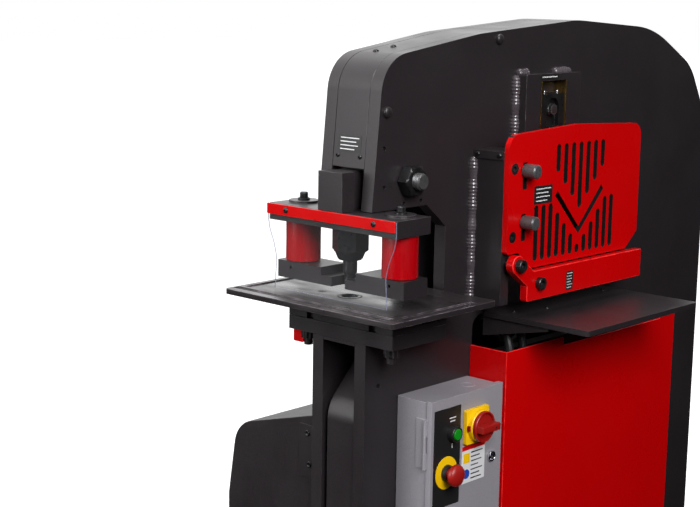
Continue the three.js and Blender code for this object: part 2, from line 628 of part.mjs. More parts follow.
function stripperPlate() {
  const half = BAR_W / 2 - 1;
  const shape = rect(STRIPPER_X0, STRIPPER_X1, -half, half, 2);
  const plate = prismZ(shape, STRIPPER_Z0, STRIPPER_Z1);
  const step = block(STRIPPER_X0 - 5, STRIPPER_X1 + 5, -42, 42, STRIPPER_Z0 + 17, STRIPPER_Z1 + 5);
  const clear = PUNCH_D / 2 + STRIPPER_WAY;
  const mouth = block(STRIPPER_X0 - 5, PUNCH_X, -clear, clear, STRIPPER_Z0 - 5, STRIPPER_Z1);
  const way = rodZ(PUNCH_X, 0, clear, STRIPPER_Z0 - 5, STRIPPER_Z1);
  const holes = [-118, 118].map((y) => rodX(y, STRIPPER_Z0 + 20, 3, STRIPPER_X0 - 5, STRIPPER_X0 + 12));
  return cut(plate, step, mouth, way, ...holes);
}
add('stripper_plate', stripperPlate(), CHARCOAL);

function stripperStud(side) {
  return join(
    rodZ(PUNCH_X, side * SPRING_Y, STUD_D / 2, STRIPPER_Z1 + GAP, BAR_Z1 + 18),
    rodZ(PUNCH_X, side * SPRING_Y, STUD_NUT_D / 2, BAR_Z1 + WASHER.t + GAP, BAR_Z1 + WASHER.t + 5));
}
add('stripper_stud_near', stripperStud(-1), BLACK_OXIDE);
add('stripper_stud_far', stripperStud(1), BLACK_OXIDE);

// ---------------------------------------------------------------- drive

const PIVOT_END = INNER + PIVOT_SEAT - 1;
add('main_pivot_pin', rodY(PIVOT_X, rise(PIVOT_RISE), PIVOT_D / 2, -PIVOT_END, PIVOT_END), STEEL);

function rockerArm() {
  const shape = outline([
    corner(RAM_PIN_X - 22, rise(RAM_PIN_RISE - 30), 12),
    corner(225, rise(262)), corner(PIVOT_X, rise(PIVOT_RISE - 58), 60),
    corner(430, rise(264)), corner(ROD_X + 40, rise(ROD_PIN_RISE - 32), 14),
    corner(ROD_X + 40, rise(ROD_PIN_RISE + 32), 14), corner(430, rise(PIVOT_RISE + 76), 80),
    corner(300, rise(PIVOT_RISE + 76), 80), corner(RAM_PIN_X - 22, rise(RAM_PIN_RISE + 30), 16),
  ]);
  const slot = (x, z, d) => rectHole(x - d / 2 - 5, x + d / 2 + 8, z - d / 2 - RUN, z + d / 2 + RUN, d / 2);
  shape.holes.push(slot(RAM_PIN_X, rise(RAM_PIN_RISE), RAM_PIN_D));
  shape.holes.push(slot(ROD_X - 4, rise(ROD_PIN_RISE), ROD_PIN_D));
  shape.holes.push(hole(PIVOT_X, rise(PIVOT_RISE), PIVOT_D / 2 + GAP));
  return prismY(shape, -ARM_Y, ARM_Y);
}
add('rocker_arm', rockerArm(), CHARCOAL);

function cylinderBarrel() {
  const barrel = rodZ(ROD_X, 0, BARREL_D / 2, BARREL_Z0, BARREL_Z1);
  const eye = rodY(ROD_X, BARREL_Z0 - 20, 30, -INNER + 1, INNER - 1);
  const bore = boreZ(ROD_X, 0, ROD_D / 2, BARREL_Z0 + 40, BARREL_Z1 + 5);
  return cut(join(barrel, eye), bore);
}
add('cylinder_barrel', cylinderBarrel(), CHARCOAL);

function cylinderRod() {
  const pinZ = rise(ROD_PIN_RISE);
  const rod = rodZ(ROD_X, 0, ROD_D / 2, BARREL_Z0 + 90, pinZ - 60);
  const yoke = block(ROD_X - 26, ROD_X + 26, -FIT_Y, FIT_Y, pinZ - 62, pinZ - 40);
  const ears = [-1, 1].map((side) => {
    const [y0, y1] = side < 0 ? [-FIT_Y, -ARM_Y - RUN] : [ARM_Y + RUN, FIT_Y];
    return prismY(rect(ROD_X - 26, ROD_X + 26, pinZ - 41, pinZ + 24, 20), y0, y1);
  });
  const bridge = [-1, 1].map((side) => {
    const [y0, y1] = side < 0 ? [-FIT_Y, -ARM_Y - RUN] : [ARM_Y + RUN, FIT_Y];
    return block(ROD_X - 26, ROD_X + 26, y0, y1, pinZ - 45, pinZ - 10);
  });
  const pin = rodY(ROD_X, pinZ, ROD_PIN_D / 2, -FIT_Y + 1, FIT_Y - 1);
  return join(rod, yoke, ...ears, ...bridge, pin);
}
add('cylinder_rod', cylinderRod(), BRIGHT);

// ---------------------------------------------------------------- shear station

const CARRIER_X0 = CARRIER_X - CARRIER_W / 2;
const CARRIER_X1 = CARRIER_X + CARRIER_W / 2;
const SHEAR_Y1 = -OUTER - GAP;
const SHEAR_Y0 = SHEAR_Y1 - GUIDE_T;

function shearGuide() {
  const inner0 = CARRIER_X0 - GAP - GIB_W - GAP;
  const inner1 = CARRIER_X1 + GAP + GIB_W + GAP;
  return prismY(outline([
    corner(GUIDE_X0, rise(GUIDE_RISE0)), corner(inner0, rise(GUIDE_RISE0)),
    corner(inner0, rise(GUIDE_RISE1 - STRAP_H)), corner(inner1, rise(GUIDE_RISE1 - STRAP_H)),
    corner(inner1, rise(GUIDE_RISE0)), corner(GUIDE_X1, rise(GUIDE_RISE0)),
    corner(GUIDE_X1, rise(GUIDE_RISE1), 4), corner(GUIDE_X0, rise(GUIDE_RISE1), 4)]), SHEAR_Y0, SHEAR_Y1);
}
add('shear_guide', shearGuide(), CHARCOAL);

function gib(x0) {
  return block(x0, x0 + GIB_W, SHEAR_Y0 - 1, SHEAR_Y1,
    rise(GUIDE_RISE0), rise(GUIDE_RISE1 - STRAP_H - GAP));
}
add('gib_left', gib(CARRIER_X0 - GAP - GIB_W), BRASS);
add('gib_right', gib(CARRIER_X1 + GAP), BRASS);

// Openings that line up through the guard, the blade carrier and the fixed blade.
// grow widens them.
const VEE = { x: 512, rise: 84, reach: 80, w: 7 };
const COMB = { x0: 373.5, pitch: 22.6, count: 12, rise0: 40, rise1: 144, land: 30, shortest: 16 };
const UPPER_SLOTS = { pitch: 24.5, aside: 3, rise1: 254, land: 44 };

function combHoles(grow) {
  const holes = [];
  for (let i = 0; i < COMB.count; i += 1) {
    const x = COMB.x0 + COMB.pitch * i;
    const top = Math.min(COMB.rise1, VEE.rise + Math.abs(x - VEE.x) - COMB.land);
    if (top > COMB.rise0 + COMB.shortest) {
      holes.push(rectHole(x - SLOT_W / 2 - grow, x + SLOT_W / 2 + grow,
        rise(COMB.rise0) - grow, rise(top) + grow, SLOT_W / 2));
    }
  }
  return holes;
}

function upperHoles(grow) {
  const holes = [];
  for (let i = -UPPER_SLOTS.aside; i <= UPPER_SLOTS.aside; i += 1) {
    const x = VEE.x + UPPER_SLOTS.pitch * i;
    const foot = VEE.rise + Math.abs(x - VEE.x) + UPPER_SLOTS.land;
    holes.push(rect(x - SLOT_W / 2 - grow, x + SLOT_W / 2 + grow,
      rise(foot) - grow, rise(UPPER_SLOTS.rise1) + grow, SLOT_W / 2));
  }
  return holes;
}

function veeHole(grow) {
  const w = VEE.w + grow;
  const { x, reach } = VEE;
  const z = rise(VEE.rise);
  return outline([
    corner(x, z - w), corner(x + reach, z + reach - w), corner(x + reach - w, z + reach + 2),
    corner(x, z + w), corner(x - reach + w, z + reach + 2), corner(x - reach, z + reach - w),
  ], new THREE.Path());
}

function shearCarrier() {
  const foot = rise(WINDOW.rise0 + 2);
  const shoulder = rise(CARRIER_SHOULDER);
  const shape = outline([
    corner(WINDOW.x0 - CARRIER_LAP, foot), corner(WINDOW.x1 + CARRIER_LAP, foot),
    corner(WINDOW.x1 + CARRIER_LAP, shoulder), corner(CARRIER_X1, shoulder),
    corner(CARRIER_X1, rise(CARRIER_RISE), 6), corner(CARRIER_X0, rise(CARRIER_RISE), 6),
    corner(CARRIER_X0, shoulder), corner(WINDOW.x0 - CARRIER_LAP, shoulder)]);
  shape.holes.push(...combHoles(BLADE_EASE), veeHole(BLADE_EASE));
  const plate = prismY(shape, SHEAR_Y0 + 1, SHEAR_Y1);
  const slots = upperHoles(BLADE_EASE / 4).slice(1, -1)
    .map((slot) => prismY(slot, SHEAR_Y0 - 4, SHEAR_Y1 + 5));
  const pinWay = boreY(CARRIER_X, rise(DRIVE_PIN.rise), DRIVE_PIN.d / 2, SHEAR_Y0, SHEAR_Y1 + 5);
  const arch = prismY(outline([
    corner(CARRIER_X - 20, rise(280)), corner(CARRIER_X + 20, rise(280)),
    corner(CARRIER_X + 20, rise(334), 18), corner(CARRIER_X - 20, rise(334), 18)]),
  SHEAR_Y0, SHEAR_Y0 + 10);
  return cut(plate, pinWay, arch, ...slots);
}
add('shear_carrier', shearCarrier(), BLACK_OXIDE);

add('shear_drive_pin', join(
  rodY(CARRIER_X, rise(DRIVE_PIN.rise), DRIVE_PIN.d / 2, SHEAR_Y0 + 4, -ARM_Y - RUN),
  hexY(CARRIER_X, rise(DRIVE_PIN.rise), 20, SHEAR_Y0 - 2, SHEAR_Y0 + 5)), STEEL);

function fixedBlade() {
  const e = GAP + 0.2;
  const shape = rect(WINDOW.x0 + e, WINDOW.x1 - e, rise(WINDOW.rise0) + e, rise(WINDOW.rise1) - e, 14);
  shape.holes.push(...combHoles(BLADE_EASE), veeHole(BLADE_EASE));
  return prismY(shape, -OUTER + 1, -OUTER + 1 + BLADE_T);
}
add('fixed_blade', fixedBlade(), STEEL);

// Each housing is a folded channel: an end wall with a front flange and a foot for the weld.
function housing(x0, side) {
  const wall = HOUSING_WALL;
  const at = (u) => (side < 0 ? x0 + u : x0 - u);
  const shape = outline([
    corner(at(0), FRONT_Y), corner(at(24), FRONT_Y), corner(at(24), FRONT_Y + wall),
    corner(at(wall), FRONT_Y + wall), corner(at(wall), -OUTER - GAP), corner(at(0), -OUTER - GAP)]);
  return prismZ(shape, drop(HOUSING_DROP), rise(HOUSING_RISE));
}

function housingCap(x0, side) {
  const at = (u) => (side < 0 ? x0 + u : x0 - u);
  const slab = (u0, u1, y0, y1, z0, z1) => block(
    Math.min(at(u0), at(u1)), Math.max(at(u0), at(u1)), y0, y1, z0, z1);
  const top = rise(HOUSING_RISE);
  const lid = slab(-CAP.out, HOUSING_W, FRONT_Y, -OUTER - GAP, top - 1, top + CAP.t);
  const lip = slab(-CAP.out, 2 - CAP.out, FRONT_Y, -OUTER - GAP, top - CAP.lip, top + 1);
  const slot = slab(18, 60, FRONT_Y + 22, FRONT_Y + 28, top - 5, top + 10);
  return cut(join(lid, lip), slot);
}
add('housing_left', join(housing(HOUSING_X0, -1), housingCap(HOUSING_X0, -1)), CHARCOAL);
add('housing_right', join(housing(HOUSING_X1, 1), housingCap(HOUSING_X1, 1)), CHARCOAL);

function shearGuard() {
  const z0 = rise(GUARD_RISE0);
  const shape = outline([
    corner(HOUSING_X0, rise(61), 6), corner(BAR_PIVOT.x + 21, rise(61), 6), corner(KNOB_X, z0, 4),
    corner(HOUSING_X1 - 40, z0, 4), corner(HOUSING_X1, rise(61), 6),
    corner(HOUSING_X1, rise(GUARD_RISE1), 26), corner(GUARD_MID, rise(GUARD_RISE1 + GUARD_PEAK), 100),
    corner(HOUSING_X0, rise(GUARD_RISE1), 26)]);
  KNOB_RISES.forEach((h) => shape.holes.push(rectHole(
    KNOB_X - 6.4, KNOB_X + 6.4, rise(h - KNOB_DOWN) - 7, rise(h + KNOB_UP) + 7, 2)));
  shape.holes.push(...combHoles(0), ...upperHoles(0), veeHole(0));
  return prismY(shape, GUARD_Y0, GUARD_Y1);
}
add('shear_guard', shearGuard(), RED);

const SLIDE_Y1 = GUARD_Y1 + 10;
add('holddown_slide', block(KNOB_X - 17, KNOB_X + 17, GUARD_Y1 + GAP, SLIDE_Y1,
  rise(KNOB_RISES[0] - 18), rise(KNOB_RISES[1] + 18)), STEEL);

function knob(h) {
  return join(
    rodY(KNOB_X, rise(h), KNOB_D / 2, GUARD_Y0 - KNOB_L, GUARD_Y0 - GAP),
    rodY(KNOB_X, rise(h), 5, GUARD_Y0 - 2, GUARD_Y1));
}
add('knob_lower', knob(KNOB_RISES[0]), BLACK_OXIDE);
add('knob_upper', knob(KNOB_RISES[1]), BLACK_OXIDE);

const HINGED_Y1 = GUARD_Y0 - GAP;
const HINGED_Y0 = HINGED_Y1 - HINGED_BAR.t;

function hingedBar() {
  const z = rise(BAR_PIVOT.rise);
  const boss = rodY(BAR_PIVOT.x, z, 18, HINGED_Y0, HINGED_Y1);
  const link = prismY(outline([
    corner(BAR_PIVOT.x + 2, z + 17.5), corner(HINGED_BAR.x0 + 22, rise(HINGED_BAR.rise1) - 1),
    corner(HINGED_BAR.x0 + 5, rise(HINGED_BAR.rise0) + 26), corner(BAR_PIVOT.x - 12, z - 13)].reverse()),
  HINGED_Y0, HINGED_Y1);
  const bar = prismY(rect(
    HINGED_BAR.x0, HINGED_BAR.x1, rise(HINGED_BAR.rise0), rise(HINGED_BAR.rise1), 4), HINGED_Y0, HINGED_Y1);
  const bore = boreY(BAR_PIVOT.x, z, 8, HINGED_Y0 - 5, HINGED_Y1 + 5);
  return cut(join(boss, link, bar), bore);
}
add('hinged_bar', hingedBar(), RED);

add('hinge_bolt', join(
  rodY(BAR_PIVOT.x, rise(BAR_PIVOT.rise), 8, HINGED_Y0 - 2, FRONT_Y - GAP),
  rodY(BAR_PIVOT.x, rise(BAR_PIVOT.rise), 11, HINGED_Y0 - 12, HINGED_Y0 - GAP)), BLACK_OXIDE);

function shearTable() {
  const y1 = -OUTER - GAP;
  const z1 = drop(SHEAR_TABLE.drop);
  const { x0, x1, depth, t, gusset } = SHEAR_TABLE;
  const top = prismZ(rect(x0, x1, y1 - depth, y1, 5), z1 - t, z1);
  const gussets = [x0 + 4, x1 - 14].map((x) => prismX(outline([
    corner(y1 - gusset.reach, z1 - t - 6), corner(y1, z1 - gusset.h),
    corner(y1, z1 - t / 2), corner(y1 - gusset.reach, z1 - t / 2)]), x, x + gusset.t));
  return join(top, ...gussets);
}
add('shear_table', shearTable(), CHARCOAL);

// ---------------------------------------------------------------- covers and power unit

function cabinetCover() {
  const y1 = -OUTER - GAP;
  const y0 = y1 - CABINET.depth;
  const w = CABINET.wall;
  const z1 = drop(CABINET.drop);
  const shell = block(CABINET.x0, CABINET.x1, y0, y1, CABINET.z0, z1);
  const hollow = block(CABINET.x0 + w, CABINET.x1 - w, y0 + w, y1 + 5, CABINET.z0 + w, z1 + 5);
  const notch = block(CABINET_NOTCH.x0, CABINET.x1 - CABINET_NOTCH.inset, y0 - 5, y0 + w + 1,
    z1 - CABINET_NOTCH.depth, z1 + 5);
  return cut(shell, hollow, notch);
}
add('cabinet_cover', cabinetCover(), RED);

function farCover() {
  const y0 = OUTER + 9;
  const y1 = y0 + FAR_COVER.reach;
  const z1 = drop(FAR_COVER.drop);
  const profile = (inset, bottom, back) => outline([
    corner(back, bottom), corner(y1 - inset, bottom), corner(y1 - inset, z1 - 200),
    corner(y1 - 22 - inset, z1 - 56 - inset, 62), corner(back, z1 - inset)]);
  const shell = prismX(profile(0, FAR_COVER.z0, y0), FAR_COVER.x0, FAR_COVER.x1);
  const hollow = prismX(profile(FAR_COVER.wall, FAR_COVER.z0 - 5, y0 - 5),
    FAR_COVER.x0 + FAR_COVER.wall, FAR_COVER.x1 - FAR_COVER.wall);
  return cut(shell, hollow);
}
add('far_cover', farCover(), CHARCOAL);

const HINGE = { x: FAR_COVER.x0 - 1, y: OUTER + 5, r: 3.5 };
add('cover_hinge_pin', rodZ(
  HINGE.x, HINGE.y, HINGE.r, drop(FAR_COVER.drop + 120), drop(FAR_COVER.drop + 20)), STEEL);

const TANK = { x0: 150, x1: 560, y0: OUTER + 22, y1: OUTER + 190, z0: FOOT_H + 40, z1: TABLE_H - 620 };
add('oil_tank', prismZ(rect(TANK.x0, TANK.x1, TANK.y0, TANK.y1, 10), TANK.z0, TANK.z1), CHARCOAL);

const MOTOR = { d: 156, l: 250, bellD: 110, bellL: 40, pump: 90, pumpL: 60, footL: 190, footW: 120 };

function pumpMotor() {
  const y = (TANK.y0 + TANK.y1) / 2;
  const z = TANK.z1 + 100;
  const x = TANK.x0 + 40;
  const bellX = x + MOTOR.l;
  const pumpX = bellX + MOTOR.bellL;
  const barrel = rodX(y, z, MOTOR.d / 2, x, bellX);
  const bell = rodX(y, z, MOTOR.bellD / 2, bellX - 1, pumpX);
  const pump = block(pumpX - 1, pumpX + MOTOR.pumpL, y - 40, y + 40,
    z - MOTOR.pump / 2, z + MOTOR.pump / 2);
  const foot = block(x + 30, x + 30 + MOTOR.footL, y - MOTOR.footW / 2, y + MOTOR.footW / 2,
    TANK.z1 + GAP, TANK.z1 + 40);
  return join(barrel, bell, pump, foot);
}
add('pump_motor', pumpMotor(), STEEL);

const VALVE = { x: 380, y: -OUTER - 42, z: drop(CABINET.drop) - 60, w: 90, d: 56, h: 60 };
add('valve_block', block(VALVE.x - VALVE.w / 2, VALVE.x + VALVE.w / 2,
  VALVE.y - VALVE.d / 2, VALVE.y + VALVE.d / 2, VALVE.z - VALVE.h, VALVE.z), BRIGHT);
const HOSE_D = 18;

function hose(offset, portZ) {
  const route = new THREE.CatmullRomCurve3([
    [VALVE.x + offset, VALVE.y, VALVE.z + GAP], [VALVE.x + offset, VALVE.y, VALVE.z + 45],
    [VALVE.x + offset + 3, VALVE.y + 18, VALVE.z + 84], [VALVE.x + offset + 10, VALVE.y + 55, VALVE.z + 92],
    [VALVE.x + offset + 42, VALVE.y + 94, VALVE.z + 78], [VALVE.x + offset + 120, offset / 2, VALVE.z + 20],
    [ROD_X - 310, offset / 2, portZ + 60], [ROD_X - 130, offset / 3, portZ + 8], [ROD_X - 70, 0, portZ],
    [ROD_X - BARREL_D / 2 - GAP, 0, portZ],
  ].map((p) => new THREE.Vector3(...p)));
  return new THREE.ExtrudeGeometry(
    circle(0, 0, HOSE_D / 2, 10), { steps: 36, bevelEnabled: false, extrudePath: route });
}
add('hose_upper', hose(-20, BARREL_Z1 - 60), RUBBER);
add('hose_lower', hose(22, BARREL_Z0 + 60), RUBBER);

// ---------------------------------------------------------------- electrical enclosure

const HINGE_X = BOX_X0 - DOOR_OUT - DOOR_HINGE.out;
const HINGE_Y = DOOR_Y + DOOR_LIP;
const HINGE_MID = drop((DOOR_HINGE.drop0 + DOOR_HINGE.drop1) / 2);
const KNUCKLE_Z0 = HINGE_MID - DOOR_HINGE.knuckle / 2;
const KNUCKLE_Z1 = HINGE_MID + DOOR_HINGE.knuckle / 2;

function enclosureBody() {
  const y1 = -OUTER - GAP;
  const e = BODY_IN;
  const w = BODY_IN + BOX_WALL;
  const shell = prismZ(
    rect(BOX_X0 + e, BOX_X1 - e, DOOR_Y + 4, y1, 2), BOX_Z0 + e, BOX_Z1 - e);
  const hollow = block(BOX_X0 + w, BOX_X1 - w, DOOR_Y, y1 - BOX_WALL, BOX_Z0 + w, BOX_Z1 - w);
  const { r, t, leaf } = DOOR_HINGE;
  const knuckle = rodZ(HINGE_X, HINGE_Y, r, KNUCKLE_Z0, KNUCKLE_Z1);
  const arm = block(HINGE_X, BOX_X0 + e, HINGE_Y + GAP, HINGE_Y + r, KNUCKLE_Z0, KNUCKLE_Z1);
  const plate = block(BOX_X0 + e - t, BOX_X0 + e + 1, HINGE_Y + GAP, HINGE_Y + leaf,
    drop(DOOR_HINGE.drop0), drop(DOOR_HINGE.drop1));
  return join(cut(shell, hollow), knuckle, arm, plate);
}
add('enclosure_body', enclosureBody(), GREY);

function enclosureDoor() {
  const o = DOOR_OUT;
  const w = BOX_WALL - DOOR_OUT;
  const face = prismZ(
    rect(BOX_X0 - o, BOX_X1 + o, DOOR_Y, DOOR_Y + DOOR_LIP, 2), BOX_Z0 - o, BOX_Z1 + o);
  const inside = block(BOX_X0 + w, BOX_X1 - w, DOOR_Y + BOX_WALL, DOOR_Y + DOOR_LIP + 5,
    BOX_Z0 + w, BOX_Z1 - w);
  const ways = [START, ESTOP].map((button) => boreY(
    button.x, button.z, BUTTON_R + RUN, DOOR_Y - 5, DOOR_Y + 5));
  const ends = [
    [drop(DOOR_HINGE.drop0), KNUCKLE_Z0 - GAP], [KNUCKLE_Z1 + GAP, drop(DOOR_HINGE.drop1)]];
  const knuckles = ends.map(([z0, z1]) => join(
    rodZ(HINGE_X, HINGE_Y, DOOR_HINGE.r, z0, z1),
    block(HINGE_X, BOX_X0, HINGE_Y - DOOR_HINGE.r, HINGE_Y - GAP, z0, z1)));
  return join(cut(face, inside, ...ways), ...knuckles);
}

const FACE_Y = DOOR_Y - GAP;
const BUTTON_R = 11;                // stem of the start and stop buttons
const SWITCH = { x: BOX_X0 + 121, z: BOX_Z1 - 62, size: 65 };
const START = { x: BOX_X0 + 58, z: BOX_Z1 - 66 };
const ESTOP = { x: BOX_X0 + 43, z: BOX_Z1 - 136 };
const LATCH = { x: BOX_X0 + 172, z: BOX_Z1 - 133 };

add('enclosure_door', enclosureDoor(), GREY);

add('switch_base', join(
  prismY(rect(SWITCH.x - SWITCH.size / 2, SWITCH.x + SWITCH.size / 2,
    SWITCH.z - SWITCH.size / 2, SWITCH.z + SWITCH.size / 2, 3), FACE_Y - 8, FACE_Y),
  rodY(SWITCH.x, SWITCH.z, 27, FACE_Y - 18, FACE_Y - 7)), YELLOW);

add('switch_handle', join(
  rodY(SWITCH.x, SWITCH.z, 22, FACE_Y - 30, FACE_Y - 18 - GAP),
  block(SWITCH.x - 26, SWITCH.x + 26, FACE_Y - 44, FACE_Y - 29, SWITCH.z - 7.5, SWITCH.z + 7.5)), RED);

add('start_button', rodY(START.x, START.z, BUTTON_R, FACE_Y - 14, FACE_Y + 2), GREEN);

add('estop_button', join(
  turnedFront(ESTOP.x, FACE_Y, ESTOP.z, [
    [0, -2], [BUTTON_R, -2], [BUTTON_R, 18], [20, 20], [20, 26], [14, 31], [0, 33]], 24)), RED);

add('door_latch', join(
  rodY(LATCH.x, LATCH.z, 10, FACE_Y - 5, FACE_Y),
  block(LATCH.x - 1.5, LATCH.x + 1.5, FACE_Y - 8, FACE_Y - 4, LATCH.z - 7, LATCH.z + 7)), BRIGHT);

// ---------------------------------------------------------------- origin at the footprint's middle

const box = new THREE.Box3().setFromObject(press);
const middle = box.getCenter(new THREE.Vector3());
press.position.set(-middle.x, -middle.y, -box.min.z);

export default press;
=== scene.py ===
"""Hydraulic punch and shear press: the finished surfaces, fittings and studio around its CAD model.

Two thick side plates carry a rocker arm. It drives the punch ram over the grooved table at one
end, and the blade carrier behind the red slotted guard in the middle. Blender's unit is the
metre, with +X along the machine from the punch end, -Y towards the operator and +Z up. Sizes in
this file are in millimetres, and places are counted from the front of the column and the top of
the punch table.
"""

import json
import math

import bmesh
import bpy
from bpy.props import FloatProperty, FloatVectorProperty, PointerProperty
from mathutils import Matrix, Vector
from mathutils.bvhtree import BVHTree

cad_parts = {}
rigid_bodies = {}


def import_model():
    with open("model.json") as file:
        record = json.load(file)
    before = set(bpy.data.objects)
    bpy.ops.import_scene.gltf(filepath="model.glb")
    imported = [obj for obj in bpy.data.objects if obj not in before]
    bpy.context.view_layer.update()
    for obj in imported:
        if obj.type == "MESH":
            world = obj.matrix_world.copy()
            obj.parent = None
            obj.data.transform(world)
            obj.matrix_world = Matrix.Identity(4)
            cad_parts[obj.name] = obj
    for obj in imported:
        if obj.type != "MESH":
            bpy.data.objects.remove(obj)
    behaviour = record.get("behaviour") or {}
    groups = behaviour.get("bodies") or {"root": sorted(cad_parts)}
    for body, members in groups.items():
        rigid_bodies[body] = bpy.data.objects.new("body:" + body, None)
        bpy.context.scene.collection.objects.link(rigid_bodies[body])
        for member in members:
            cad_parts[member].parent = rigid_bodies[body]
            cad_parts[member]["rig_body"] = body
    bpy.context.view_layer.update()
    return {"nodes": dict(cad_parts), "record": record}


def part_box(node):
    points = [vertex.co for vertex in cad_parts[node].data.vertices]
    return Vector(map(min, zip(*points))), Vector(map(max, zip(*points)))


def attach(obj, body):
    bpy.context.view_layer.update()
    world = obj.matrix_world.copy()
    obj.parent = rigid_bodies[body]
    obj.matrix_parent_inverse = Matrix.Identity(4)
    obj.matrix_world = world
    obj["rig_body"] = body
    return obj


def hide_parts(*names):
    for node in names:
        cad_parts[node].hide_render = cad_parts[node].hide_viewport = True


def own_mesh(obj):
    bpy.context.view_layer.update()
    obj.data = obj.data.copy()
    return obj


bl_info = {
    "name": "Punch and shear press",
    "version": (1, 0, 0),
    "blender": (4, 5, 0),
    "location": "View3D > Sidebar > Press",
    "description": "Builds the finished surfaces and fittings of a hydraulic punch and shear press",
    "category": "Object",
}

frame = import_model()

MM = 0.001
WELD = 1e-5                              # vertices closer than this are one
UP = Vector((0, 0, 1))
DOWN = -UP
FRONT = Vector((0, -1, 0))               # towards the operator
BACK = -FRONT
LEFT = Vector((-1, 0, 0))                # towards the punch end
RIGHT = -LEFT

SLOTS = {part["node"]: part["material_slot"] for part in frame["record"]["subparts"]}


def low(node):
    """The lowest corner of a CAD node, in metres."""
    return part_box(node)[0]


def high(node):
    """The highest corner of a CAD node, in metres."""
    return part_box(node)[1]


COLUMN_X = low("near_side_plate").x
TABLE_Z = high("punch_table").z
NEAR_Y = low("near_side_plate").y / MM
FAR_Y = high("far_side_plate").y / MM
GUARD_Y = low("shear_guard").y / MM
DOOR_Y = low("enclosure_door").y / MM


def spot(x, y, rise):
    """A place x behind the column's front, y across the machine and rise above the punch table."""
    return Vector((COLUMN_X + x * MM, y * MM, TABLE_Z + rise * MM))


def from_column(node):
    """The lowest and highest corners of a CAD node, counted as spot() counts."""
    return [Vector(((c.x - COLUMN_X) / MM, c.y / MM, (c.z - TABLE_Z) / MM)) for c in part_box(node)]


def middle(node):
    """The x, y and rise of a CAD node's middle."""
    lowest, highest = from_column(node)
    return (lowest + highest) / 2


# ---------------------------------------------------------------- sizes and colours


def length(name, default, description):
    """A size whose default is in millimetres."""
    return FloatProperty(name=name, description=description, default=default * MM, min=0.0,
                         unit="LENGTH", precision=4)


def colour(name, default, description):
    """A colour as linear red, green and blue."""
    return FloatVectorProperty(name=name, description=description, default=default, min=0.0,
                               max=1.0, size=3, subtype="COLOR")


class PressSizes(bpy.types.PropertyGroup):
    """Sizes that the finished pieces add to the CAD model."""

    plate_edge: length("Plate edge", 1.2, "Rounding of the edges of thick plates")
    sheet_edge: length("Sheet edge", 0.6, "Rounding of the edges of thin sheets")
    guard_edge: length("Guard edge", 1.6, "Rounding of the edges of the red guard and bar")
    weld_radius: length("Weld radius", 9.8, "Radius of the weld beads")
    weld_ripple: length("Weld ripple", 7.0, "Distance between two ripples of a weld bead")
    thread_pitch: length("Thread pitch", 2.0, "Pitch of the threads on studs and bolts")


class PressColours(bpy.types.PropertyGroup):
    """Colours of the finishes."""

    charcoal: colour("Charcoal", (0.0165, 0.0135, 0.0155), "Textured enamel of the frame")
    red: colour("Red", (0.56, 0.0006, 0.0014), "Gloss enamel of the guard and the cabinet")
    grey: colour("Grey", (0.285, 0.270, 0.300), "Enamel of the electrical enclosure")
    steel: colour("Steel", (0.33, 0.33, 0.34), "Machined steel")
    bright_steel: colour("Bright steel", (0.66, 0.66, 0.68), "Plated and ground steel")
    black_oxide: colour("Black oxide", (0.035, 0.035, 0.037), "Blackened bolts, knobs and nuts")
    urethane: colour("Urethane", (0.38, 0.001, 0.004), "Stripper springs")
    clear: colour("Clear", (0.90, 0.93, 0.97), "Clear punch shield")
    yellow: colour("Yellow", (0.95, 0.56, 0.002), "Switch plate and stop ring")
    green: colour("Green", (0.005, 0.26, 0.012), "Start button")
    red_plastic: colour("Red plastic", (0.32, 0.008, 0.006), "Switch handle and stop button")
    brass: colour("Brass", (0.52, 0.33, 0.10), "Gibs beside the blade carrier")
    rubber: colour("Rubber", (0.012, 0.012, 0.013), "Hydraulic hoses")
    white: colour("White", (0.72, 0.72, 0.74), "Information panel and print")
    blue: colour("Blue", (0.01, 0.06, 0.42), "Mark on the information panel")


# ---------------------------------------------------------------- finishes


def finish(name, base, roughness, metallic=0.0):
    """A new material and its shader."""
    material = bpy.data.materials.new(name)
    material.use_nodes = True
    shader = material.node_tree.nodes["Principled BSDF"]
    shader.inputs["Base Color"].default_value = (*base, 1)
    shader.inputs["Roughness"].default_value = roughness
    shader.inputs["Metallic"].default_value = metallic
    return material, shader


def grain(material, scale, detail=2.0, stretch=(1, 1, 1)):
    """Noise over the piece, scale being the number of grains in a metre."""
    nodes, links = material.node_tree.nodes, material.node_tree.links
    place = nodes.new("ShaderNodeTexCoord")
    mapping = nodes.new("ShaderNodeMapping")
    mapping.inputs["Scale"].default_value = stretch
    noise = nodes.new("ShaderNodeTexNoise")
    noise.inputs["Scale"].default_value = scale
    noise.inputs["Detail"].default_value = detail
    links.new(place.outputs["Object"], mapping.inputs["Vector"])
    links.new(mapping.outputs["Vector"], noise.inputs["Vector"])
    return noise.outputs["Fac"]


def spread(material, value, lowest, highest, start=0.3, end=0.7):
    """The noise value stretched to run from lowest to highest."""
    node = material.node_tree.nodes.new("ShaderNodeMapRange")
    limits = {"From Min": start, "From Max": end, "To Min": lowest, "To Max": highest}
    for socket, number in limits.items():
        node.inputs[socket].default_value = number
    material.node_tree.links.new(value, node.inputs["Value"])
    return node.outputs["Result"]


def shade(material, shader, value, dark, light):
    """Varies the base colour between dark and light times itself."""
    base = shader.inputs["Base Color"].default_value[:3]
    mix = material.node_tree.nodes.new("ShaderNodeMix")
    mix.data_type = "RGBA"
    mix.inputs["A"].default_value = (*[c * dark for c in base], 1)
    mix.inputs["B"].default_value = (*[min(c * light, 1) for c in base], 1)
    material.node_tree.links.new(value, mix.inputs["Factor"])
    material.node_tree.links.new(mix.outputs["Result"], shader.inputs["Base Color"])


